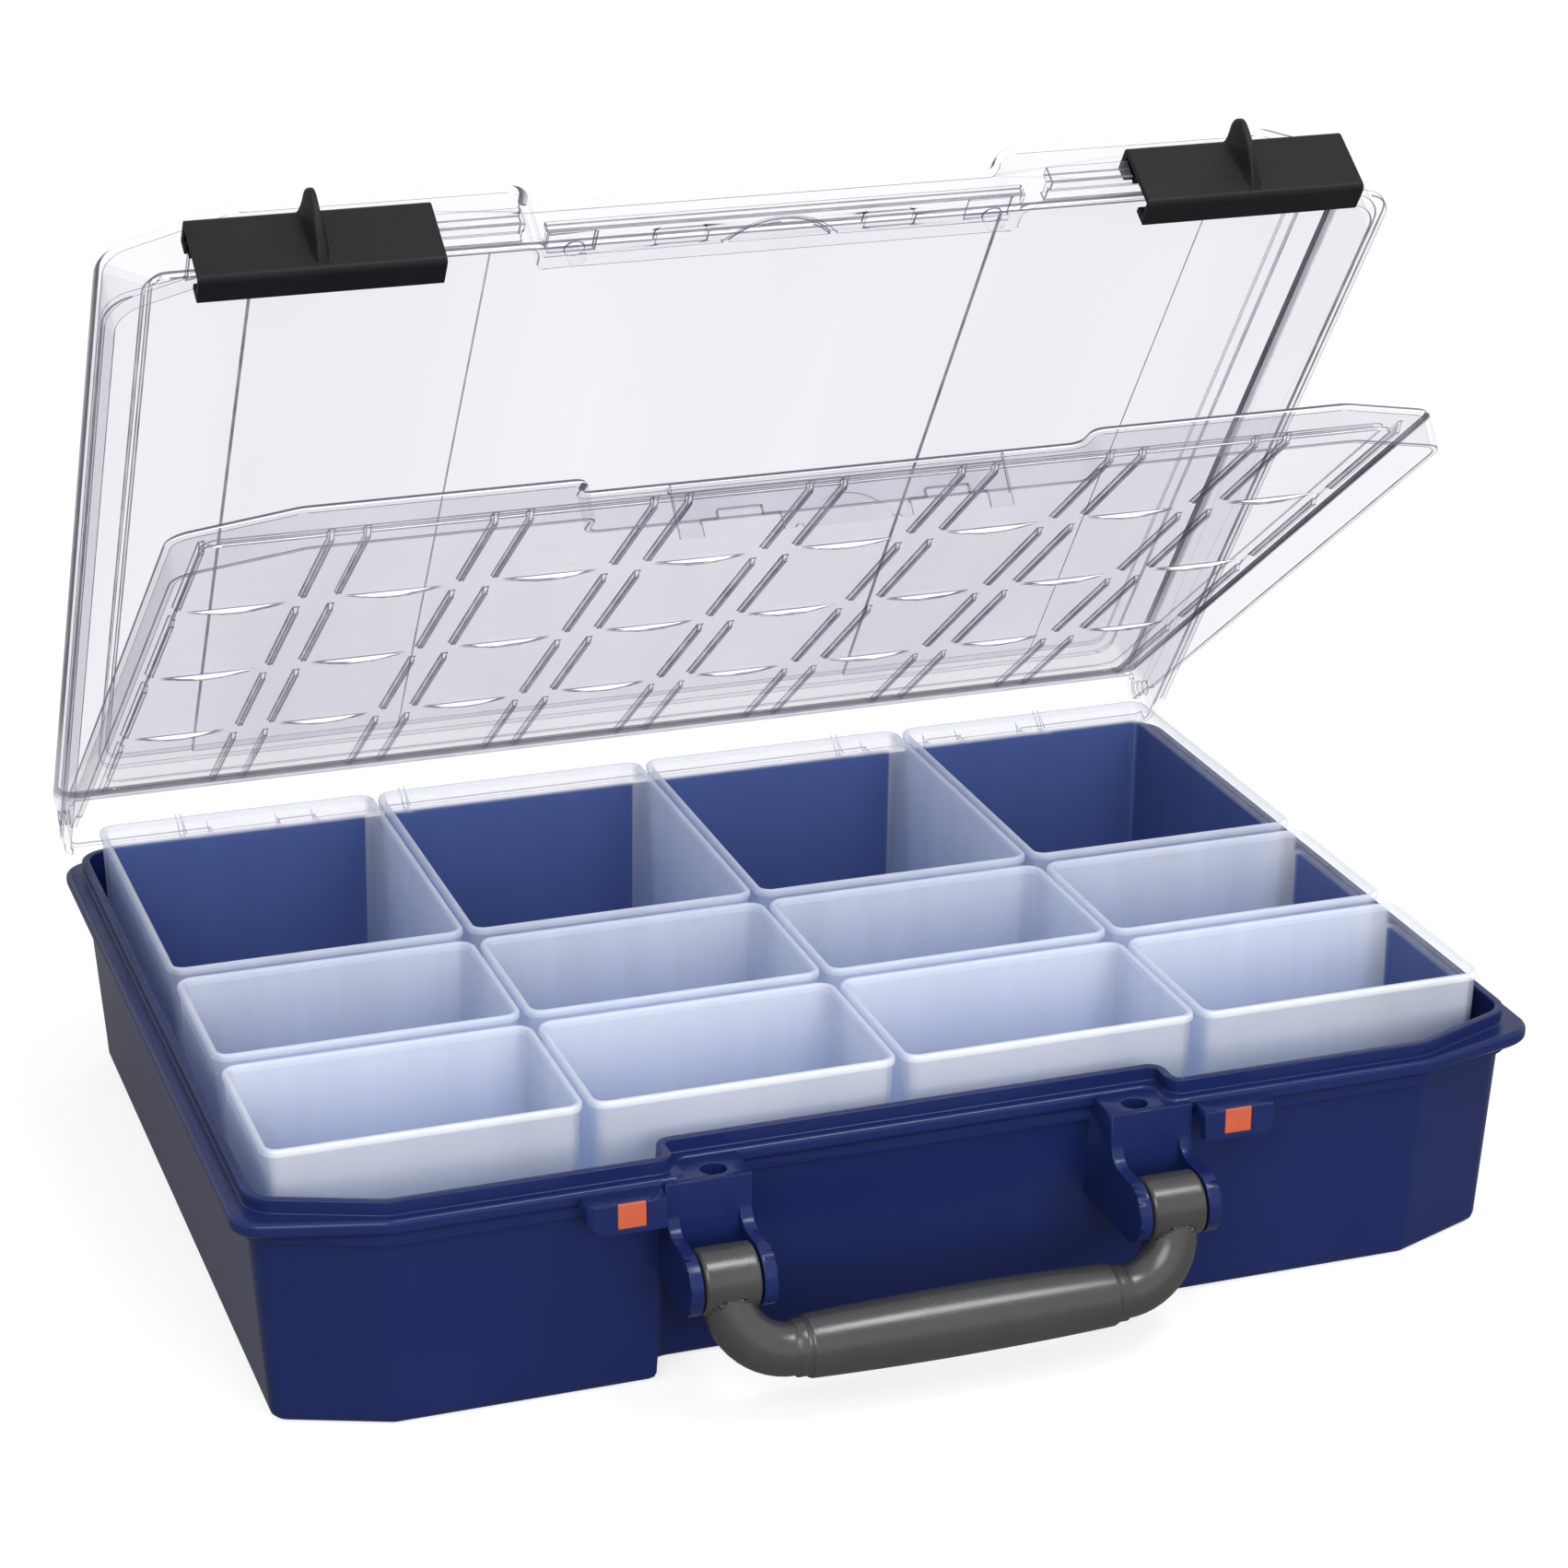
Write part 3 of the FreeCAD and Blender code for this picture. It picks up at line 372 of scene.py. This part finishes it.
# edges that turn more than the first are rounded, faces that turn less than the second become one
sharpAngle = math.radians(34)
flatAngle = math.radians(0.4)


# rounds the sharp edges that have room beside them; the rounded strips may take a finish of their own
def softenEdges(piece, width, segments, edgeSlot=-1):
    work = bmesh.new()
    work.from_mesh(piece.data)
    weight = work.edges.layers.float.new("bevel_weight_edge")
    for edge in work.edges:
        if len(edge.link_faces) == 2 and edge.calc_face_angle() > sharpAngle:
            room = min(face.calc_area() for face in edge.link_faces)
            edge[weight] = float(room > width * edge.calc_length() > 0)
    work.to_mesh(piece.data)
    work.free()
    bevel = piece.modifiers.new("softEdges", "BEVEL")
    bevel.width = width
    bevel.segments = segments
    bevel.limit_method = "WEIGHT"
    bevel.use_clamp_overlap = False
    bevel.material = edgeSlot
    piece.modifiers.new("flatFaces", "WEIGHTED_NORMAL")
    return piece


# a copy of a node's triangles with equal points merged and flat areas cut again into well-shaped faces
def mergedCopy(node, name):
    source = frame["nodes"][node].data
    points = np.empty(len(source.vertices) * 3, np.float32)
    source.vertices.foreach_get("co", points)
    source.calc_loop_triangles()
    corners = np.empty(len(source.loop_triangles) * 3, np.int32)
    source.loop_triangles.foreach_get("vertices", corners)
    merged, index = np.unique(np.round(points.reshape(-1, 3), 6), axis=0, return_inverse=True)
    triangles = index.reshape(-1)[corners].reshape(-1, 3)
    whole = (triangles[:, 0] != triangles[:, 1]) & (triangles[:, 1] != triangles[:, 2])
    whole &= triangles[:, 2] != triangles[:, 0]
    mesh = bpy.data.meshes.new(name)
    mesh.from_pydata(merged, [], triangles[whole])
    work = bmesh.new()
    work.from_mesh(mesh)
    bmesh.ops.dissolve_limit(work, angle_limit=flatAngle, verts=work.verts, edges=work.edges)
    manySided = [face for face in work.faces if len(face.verts) > 4]
    bmesh.ops.triangulate(work, faces=manySided, ngon_method="BEAUTY")
    work.to_mesh(mesh)
    work.free()
    mesh.polygons.foreach_set("use_smooth", np.ones(len(mesh.polygons), bool))
    return mesh


# where the clear mouldings' ribs, steps and borders lie when closed, and the finish that each kind of face takes,
# with painted lines and highlights on edges, ribs, steps and rounded edges
faceKinds = ("clear", "edge", "rib", "crossRib", "round", "border")
lidFaces = {
    "lid": {"span": 0.1700, "front": -0.1010, "back": 0.1080, "low": 0.0745, "high": 0.0772, "flat": 0.0,
            "border": (-0.0985, 0.1065)},
    "inner_lid": {"span": 0.1550, "front": -0.1015, "back": 0.1100, "low": 0.0700, "high": 0.0727, "flat": 0.0709,
                  "border": (-0.1300, 0.0960)},
}
squareOn = 0.9
rounded = (0.20, 0.97)


# sorts faces by where they lie and how they face in the closed lid: borders at front and back, rounded upper edges,
# rib flanks, crosswise ribs and steps
def sortFaces(mesh, pose, zone):
    count = len(mesh.polygons)
    normals = np.empty(count * 3, np.float32)
    centres = np.empty(count * 3, np.float32)
    mesh.polygons.foreach_get("normal", normals)
    mesh.polygons.foreach_get("center", centres)
    closing = np.array(pose.inverted())
    normals = np.abs(normals.reshape(-1, 3) @ closing[:3, :3].T)
    centres = centres.reshape(-1, 3) @ closing[:3, :3].T + closing[:3, 3]
    x, y, z = centres.T
    acrossX, acrossY, upright = normals.T
    inside = (np.abs(x) < zone["span"]) & (y > zone["front"]) & (y < zone["back"])
    inside &= (z > zone["low"]) & (z < zone["high"])
    kinds = np.zeros(count, np.int32)
    kinds[(y < zone["border"][0]) | (y > zone["border"][1])] = faceKinds.index("border")
    kinds[(upright > rounded[0]) & (upright < rounded[1]) & (z > zone["high"])] = faceKinds.index("round")
    kinds[inside & (acrossX > squareOn)] = faceKinds.index("rib")
    kinds[inside & (upright > squareOn) & (z < zone["flat"])] = faceKinds.index("rib")
    kinds[inside & (acrossY > squareOn)] = faceKinds.index("crossRib")
    mesh.polygons.foreach_set("material_index", kinds)


mouldings = {
    "base_tray": {"piece": "tray", "body": "base", "slot": "tray_plastic", "finish": ("navy",), "edge": 0.00035},
    "lid": {"piece": "lidShell", "body": "lid", "slot": "lid_plastic",
            "finish": ("lidClear", "edge", "rib", "crossRib", "lidRound", "border"), "edge": 0.00035,
            "pose": openLid},
    "inner_lid": {"piece": "innerLidShell", "body": "inner_lid", "slot": "inner_lid_plastic",
                  "finish": ("innerLidClear", "edge", "rib", "crossRib", "innerLidRound", "border"), "edge": 0.0003,
                  "pose": openInnerLid},
    "flag_left": {"piece": "flagLeft", "body": "base", "slot": "flag_plastic", "finish": ("orange",),
                  "edge": 0.00025},
    "flag_right": {"piece": "flagRight", "body": "base", "slot": "flag_plastic", "finish": ("orange",),
                   "edge": 0.00025},
}
for node, make in mouldings.items():
    mesh = mergedCopy(node, make["piece"])
    piece = addPiece(make["piece"], mesh, make["body"], node, [finishes[f] for f in make["finish"]])
    if node in lidFaces:
        sortFaces(mesh, make["pose"], lidFaces[node])
    softenEdges(piece, make["edge"], 2, faceKinds.index("edge") if node in lidFaces else -1)
    print("moulding", make["piece"], len(mesh.polygons), "faces")


# bins: a rounded rectangle carried up the outside, over the rim and down the inside
binLook = {"wall": 0.0012, "floor": 0.0016, "draft": 0.0020, "rimReach": 0.0005, "rimHeight": 0.0024,
           "neckShare": 0.15, "neckRise": 0.0004, "beadRise": 0.0008, "corner": 0.0045, "leastCorner": 0.0006,
           "footRadius": 0.0022, "cornerSteps": 8, "footSteps": 6, "rimSteps": 9}


def binSection(height):
    b = binLook
    turn = np.linspace(0.0, math.pi / 2, b["footSteps"])
    foot = b["footRadius"]
    rimHalf = (b["wall"] + b["rimReach"]) / 2
    slope = lambda z: b["rimReach"] + b["draft"] * (1 - z / height)
    outFoot = np.stack([slope(foot) + foot * (1 - np.sin(turn)), foot * (1 - np.cos(turn))], -1)
    shoulder = height - b["rimHeight"]
    outWall = np.array([[slope(shoulder), shoulder], [b["rimReach"] * b["neckShare"], shoulder + b["neckRise"]],
                        [0.0, shoulder + b["beadRise"]]])
    over = np.linspace(0.0, math.pi, b["rimSteps"])
    rim = np.stack([rimHalf - rimHalf * np.cos(over), height - rimHalf + rimHalf * np.sin(over)], -1)
    low = b["floor"] + foot
    inWall = np.array([[slope(low) + b["wall"], low]])
    inFoot = np.stack([slope(low) + b["wall"] + foot * (1 - np.cos(turn[1:])), low - foot * np.sin(turn[1:])], -1)
    return np.concatenate([outFoot, outWall, rim, inWall, inFoot])


# point(k, t) = corner centre + radius(k) * direction(t), with the radius shrunk by the section's inset
def binShape(low, high):
    b = binLook
    section = binSection(high[2] - low[2])
    steps = b["cornerSteps"] + 1
    angle = (np.linspace(0.0, math.pi / 2, steps)[None] + np.arange(4)[:, None] * math.pi / 2).ravel()
    signX = np.repeat([1, -1, -1, 1], steps)
    signY = np.repeat([1, 1, -1, -1], steps)
    half = (np.array(high) - np.array(low))[:2] / 2
    middle = (np.array(high) + np.array(low))[:2] / 2
    inset = section[:, :1]
    radius = np.maximum(b["corner"] - inset, b["leastCorner"])
    x = middle[0] + signX * (half[0] - inset - radius) + radius * np.cos(angle)
    y = middle[1] + signY * (half[1] - inset - radius) + radius * np.sin(angle)
    z = np.broadcast_to(low[2] + section[:, 1:], x.shape)
    points = np.stack([x, y, z], -1).reshape(-1, 3)
    return points, cappedFaces(len(section), len(angle))


for row in ("back", "mid", "front"):
    for column in range(1, 5):
        node = "bin_%s_%d" % (row, column)
        name = "bin%s%d" % (row.capitalize(), column)
        addPiece(name, meshOf(name, [binShape(*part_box(node))]), node, node, [finishes["milky"]])
print("bins made")


# handle: a round section carried along knuckle, leg, bend and grip, then leaned about the pivot
handleLook = {"span": 0.0570, "reach": 0.0192, "bend": 0.0146, "limb": 0.0065, "collar": 0.0070, "gripEnd": 0.0077,
              "gripMiddle": 0.0085, "collarLength": 0.0030, "knuckle": 0.0080, "knuckleWidth": 0.0140,
              "knuckleEdge": 0.0011, "knuckleSteps": 6, "trunnion": 0.0035, "trunnionReach": 0.0093,
              "trunnionEdge": 0.0004, "seamStep": 0.00025, "gripMargin": 0.004, "gripSteps": 41, "bendSteps": 14,
              "legTop": 0.002, "legSteps": 4, "softEdge": 0.0006, "lean": 20.0, "around": 48}


# radius(x) along the grip: a bow from end to end, narrower collars at the ends, thin necks between
def limbRadius(x, straight):
    h = handleLook
    seam = h["span"] - h["bend"]
    half = seam - h["collarLength"]
    bow = h["gripEnd"] + (h["gripMiddle"] - h["gripEnd"]) * (1 - (x / half) ** 2)
    radius = np.where(np.abs(x) < half, bow, h["collar"])
    radius = np.where(np.abs(x) > seam, h["limb"], radius)
    return np.where(straight, radius, h["limb"])


def tubeShape():
    h = handleLook
    drop = h["reach"] - h["bend"]
    seam = h["span"] - h["bend"]
    half = seam - h["collarLength"]
    turn = np.linspace(0.0, math.pi / 2, h["bendSteps"])
    step = h["seamStep"]
    bowEnd = half - h["gripMargin"]
    grip = np.concatenate([[seam - step, half + step, half - step], np.linspace(bowEnd, -bowEnd, h["gripSteps"]),
                           [-half + step, -half - step, -seam + step]])
    legX = np.full(h["legSteps"], h["span"])
    legZ = np.linspace(h["legTop"], -drop, h["legSteps"] + 1)[:-1]
    bendX = seam + h["bend"] * np.cos(turn)
    bendZ = -drop - h["bend"] * np.sin(turn)
    x = np.concatenate([legX, bendX, grip, -bendX[::-1], -legX])
    z = np.concatenate([legZ, bendZ, np.full(len(grip), -h["reach"]), bendZ[::-1], legZ[::-1]])
    straight = np.zeros(len(x), bool)
    straight[len(legX) + len(bendX):len(legX) + len(bendX) + len(grip)] = True
    radius = limbRadius(x, straight)
    side = np.zeros((len(x), 2))
    side[:len(legX)] = (1, 0)
    side[len(legX):len(legX) + len(turn)] = np.stack([np.cos(turn), -np.sin(turn)], -1)
    side[straight] = (0, -1)
    side[-len(legX) - len(turn):-len(legX)] = np.stack([-np.cos(turn), -np.sin(turn)], -1)[::-1]
    side[-len(legX):] = (-1, 0)
    phi = np.linspace(0.0, 2 * math.pi, h["around"], endpoint=False)
    out = radius[:, None] * np.cos(phi)
    points = np.stack([x[:, None] + side[:, :1] * out, radius[:, None] * np.sin(phi),
                       z[:, None] + side[:, 1:] * out], -1).reshape(-1, 3)
    return points, cappedFaces(len(x), h["around"])


# knuckle: a rounded barrel turned about the pivot, with a trunnion at each end
def knuckleShape(side):
    h = handleLook
    edge = h["knuckleEdge"]
    wide = h["knuckleWidth"] / 2
    turn = np.linspace(0.0, math.pi / 2, h["knuckleSteps"])
    corner = np.stack([wide - edge + edge * np.sin(turn), h["knuckle"] - edge + edge * np.cos(turn)], -1)
    stub = np.array([[wide, h["trunnion"]], [h["trunnionReach"] - h["trunnionEdge"], h["trunnion"]],
                     [h["trunnionReach"], h["trunnion"] - h["trunnionEdge"]]])
    rightHalf = np.concatenate([corner, stub])
    section = np.concatenate([rightHalf[::-1] * (-1, 1), rightHalf])
    phi = np.linspace(0.0, 2 * math.pi, h["around"], endpoint=False)
    points = np.stack([np.broadcast_to(side * h["span"] + section[:, :1], (len(section), len(phi))),
                       section[:, 1:] * np.cos(phi), section[:, 1:] * np.sin(phi)], -1).reshape(-1, 3)
    return points, cappedFaces(len(section), h["around"])


def unitedMesh(name, parts):
    bodies = []
    for index, part in enumerate(parts):
        body = bpy.data.objects.new(name + str(index), meshOf(name + str(index), [part]))
        scene.collection.objects.link(body)
        bodies.append(body)
    for other in bodies[1:]:
        join = bodies[0].modifiers.new("join", "BOOLEAN")
        join.operation = "UNION"
        join.solver = "EXACT"
        join.object = other
    bpy.context.view_layer.update()
    mesh = bpy.data.meshes.new_from_object(bodies[0].evaluated_get(bpy.context.evaluated_depsgraph_get()))
    mesh.name = name
    for body in bodies:
        bpy.data.objects.remove(body)
    return mesh


handleMesh = unitedMesh("carryHandle", [tubeShape(), knuckleShape(1), knuckleShape(-1)])
pivot = Vector(joints["handle_hinge"]["pos_m"])
lean = Matrix.Rotation(math.radians(handleLook["lean"]), 4, Vector(joints["handle_hinge"]["axis"]))
handleMesh.transform(Matrix.Translation(pivot) @ lean)
handle = addPiece("carryHandle", handleMesh, "handle", "handle", [finishes["grey"]])
softenEdges(handle, handleLook["softEdge"], 3)
print("handle made", len(handleMesh.polygons))


# latch: a C-shaped section carried along X, with a thumb fin on its face, drawn closed and turned with the lid
latchLook = {"inner": 0.0900, "length": 0.0595, "face": -0.1319, "plateBack": -0.1301, "hook": -0.1257,
             "back": -0.1239, "bottom": 0.0464, "floor": 0.0482, "hookTop": 0.0512, "roof": 0.0640,
             "roofHook": 0.0616, "top": 0.0660, "outer": 0.0018, "ledge": (0.0570, 0.0576), "ledgeReach": 0.0026,
             "finReach": 0.0073, "finRise": 0.0019, "finShoulder": 0.0024, "finBow": 0.0015, "finEnd": 0.0010,
             "finWidth": 0.0090, "finCrest": 0.22, "finRoot": 0.0009, "finFall": 3.2, "outerSteps": 7,
             "softEdge": 0.0003}


def channelShape(side):
    s = latchLook
    low, high = s["ledge"]
    outer = s["outer"]
    turn = np.linspace(0.0, math.pi / 2, s["outerSteps"])
    lower = np.stack([s["face"] + outer * (1 - np.cos(turn)), s["bottom"] + outer * (1 - np.sin(turn))], -1)
    upper = np.stack([s["face"] + outer * (1 - np.sin(turn)), s["top"] - outer * (1 - np.cos(turn))], -1)
    inside = np.array([
        (s["back"], s["bottom"]), (s["back"], s["hookTop"]), (s["hook"], s["hookTop"]),
        (s["hook"], s["floor"]), (s["plateBack"], s["floor"]), (s["plateBack"], low),
        (s["plateBack"] + s["ledgeReach"], low), (s["plateBack"] + s["ledgeReach"], high), (s["plateBack"], high),
        (s["plateBack"], s["roof"]), (s["hook"], s["roof"]), (s["hook"], s["roofHook"]), (s["back"], s["roofHook"]),
        (s["back"], s["top"])])
    ring = np.concatenate([lower, inside, upper])
    ends = side * np.array([s["inner"], s["inner"] + s["length"]])
    points = np.concatenate([np.column_stack([np.full(len(ring), end), ring]) for end in ends])
    return points, cappedFaces(len(ends), len(ring))


# points along the circle through three points of a plane
def arcThrough(first, middle, last, count):
    first, middle, last = (np.array(p) for p in (first, middle, last))
    sides = np.stack([middle - first, last - first]) * 2
    centre = np.linalg.solve(sides, np.array([middle @ middle, last @ last]) - first @ first)
    angles = np.unwrap([math.atan2(*(p - centre)[::-1]) for p in (first, middle, last)])
    turn = np.linspace(angles[0], angles[2], count)
    return centre + np.linalg.norm(first - centre) * np.stack([np.cos(turn), np.sin(turn)], -1)


# point(u, v) = root(u) + (outline(u) - root(u)) * fall(v): a blade whose sides sweep out to the plate
def finShape(side):
    s = latchLook
    foot = np.array([s["face"], s["floor"]])
    tip = np.array([s["face"] - s["finReach"], s["top"] - s["finShoulder"]])
    along = (tip - foot) / np.linalg.norm(tip - foot)
    bowed = (foot + tip) / 2 + np.array([-along[1], along[0]]) * s["finBow"]
    crown = (s["face"] - s["finReach"] / 2, s["top"] + s["finRise"])
    end = (s["face"], s["top"] - s["finEnd"])
    outline = np.concatenate([arcThrough(foot, bowed, tip, 16)[:-1], arcThrough(tip, crown, end, 20)])
    root = np.stack([np.full(len(outline), s["face"] + s["finRoot"]),
                     np.minimum(outline[:, 1], s["top"] - s["finRoot"])], -1)
    v = np.linspace(-1.0, 1.0, 25)
    beyond = np.clip((np.abs(v) - s["finCrest"]) / (1 - s["finCrest"]), 0.0, 1.0)
    fall = (1 - beyond) ** s["finFall"]
    yz = root[:, None] + (outline - root)[:, None] * fall[None, :, None]
    x = side * (s["inner"] + s["length"] / 2) + v * s["finWidth"] / 2
    points = np.concatenate([np.broadcast_to(x[None, :, None], (*yz.shape[:2], 1)), yz], -1).reshape(-1, 3)
    rows, columns = yz.shape[:2]
    faces = gridFaces(rows, columns, wrap=False).tolist()
    rim = [r * columns for r in range(rows)] + [(rows - 1) * columns + c for c in range(1, columns)]
    rim += [r * columns + columns - 1 for r in range(rows - 2, -1, -1)] + list(range(columns - 2, 0, -1))
    faces.append(rim)
    return points, faces


for side, word in ((-1, "left"), (1, "right")):
    name = "latch" + word.capitalize()
    mesh = unitedMesh(name, [channelShape(side), finShape(side)])
    mesh.transform(openLid)
    latch = addPiece(name, mesh, "latch_" + word, "latch_" + word, [finishes["black"]])
    softenEdges(latch, latchLook["softEdge"], 2)
print("latches made")


# stage: white floor that keeps the shadow and looks darker in reflections, white surroundings, soft lamps
stageLook = {"floorSize": 40.0, "floorGlow": 0.75, "nearDrop": 0.03, "near": (0.25, 1.3), "floorColour": 0.33,
             "speckleScale": 300.0, "speckle": 0.01, "ambient": 0.72, "glossy": 0.12, "mirrorDrop": 0.6,
             "aim": (0.0, 0.0, 0.08)}


def seenRays(finish):
    camera, glossy, through = (finish.node("ShaderNodeLightPath", out=name)
                               for name in ("Is Camera Ray", "Is Glossy Ray", "Is Transmission Ray"))
    seen = camera + glossy * stageLook["glossy"]
    return finish.node("ShaderNodeMath", {"operation": "ADD", "use_clamp": True}, {0: seen, 1: through})


def floorFinish():
    finish = Finish(bpy.data.materials.new("paleFloor"))
    speckle = finish.noise(stageLook["speckleScale"], 2.0)
    tone = stageLook["floorColour"]
    colour = finish.blend(speckle, (tone,) * 3, (tone + stageLook["speckle"],) * 3)
    mirrored = finish.node("ShaderNodeLightPath", out="Is Glossy Ray") * stageLook["mirrorDrop"]
    diffuse = finish.node("ShaderNodeBsdfDiffuse", {}, {"Color": finish.blend(mirrored, colour, (0.0, 0.0, 0.0))})
    away = finish.node("ShaderNodeVectorMath", {"operation": "LENGTH"}, {0: finish.place()}, out="Value")
    strength = stageLook["floorGlow"] - stageLook["nearDrop"] * (1.0 - finish.step(away, *stageLook["near"]))
    glow = finish.node("ShaderNodeEmission", {}, {"Strength": seenRays(finish) * strength})
    return finish.surface(finish.node("ShaderNodeAddShader", {}, {0: diffuse, 1: glow}))


reach = stageLook["floorSize"] / 2
floorMesh = bpy.data.meshes.new("floor")
floorMesh.from_pydata([(-reach, -reach, 0), (reach, -reach, 0), (reach, reach, 0), (-reach, reach, 0)], [],
                      [(0, 1, 2, 3)])
floorMesh.materials.append(floorFinish())
floor = bpy.data.objects.new("floor", floorMesh)
scene.collection.objects.link(floor)

scene.world = bpy.data.worlds.new("studio")
studio = Finish(scene.world, "ShaderNodeOutputWorld")
ambient = stageLook["ambient"]
studio.surface(studio.node("ShaderNodeBackground", {}, {
    "Color": (1.0, 1.0, 1.0, 1.0), "Strength": ambient + (1.0 - ambient) * seenRays(studio)}))

lamps = {
    "keyLamp": {"at": (-0.9, -1.5, 1.5), "size": 1.1, "watts": 19.0, "glossy": True},
    "topLamp": {"at": (0.50, -0.60, 1.64), "size": 0.5, "watts": 9.5, "glossy": True},
    "frontLamp": {"at": (0.2, -1.9, 0.6), "size": 1.0, "watts": 22.0, "glossy": False},
}
for name, lamp in lamps.items():
    data = bpy.data.lights.new(name, "AREA")
    data.energy = lamp["watts"]
    data.size = lamp["size"]
    light = bpy.data.objects.new(name, data)
    light.location = lamp["at"]
    light.visible_glossy = lamp["glossy"]
    towards = Vector(stageLook["aim"]) - Vector(lamp["at"])
    light.rotation_euler = towards.to_track_quat("-Z", "Y").to_euler()
    scene.collection.objects.link(light)

# camera: where the photograph was taken from, level, with a long lens
view = {"at": (-0.31957, -0.93607, 0.48678), "azimuth": -19.10, "elevation": 21.14, "lens": 92.54,
        "sensor": 36.0, "far": 100.0}
cameraData = bpy.data.cameras.new("camera")
cameraData.lens = view["lens"]
cameraData.sensor_width = view["sensor"]
cameraData.clip_end = view["far"]
camera = bpy.data.objects.new("camera", cameraData)
camera.location = view["at"]
camera.rotation_euler = (math.radians(90 - view["elevation"]), 0.0, math.radians(view["azimuth"]))
scene.collection.objects.link(camera)
scene.camera = camera
print("stage and camera made")
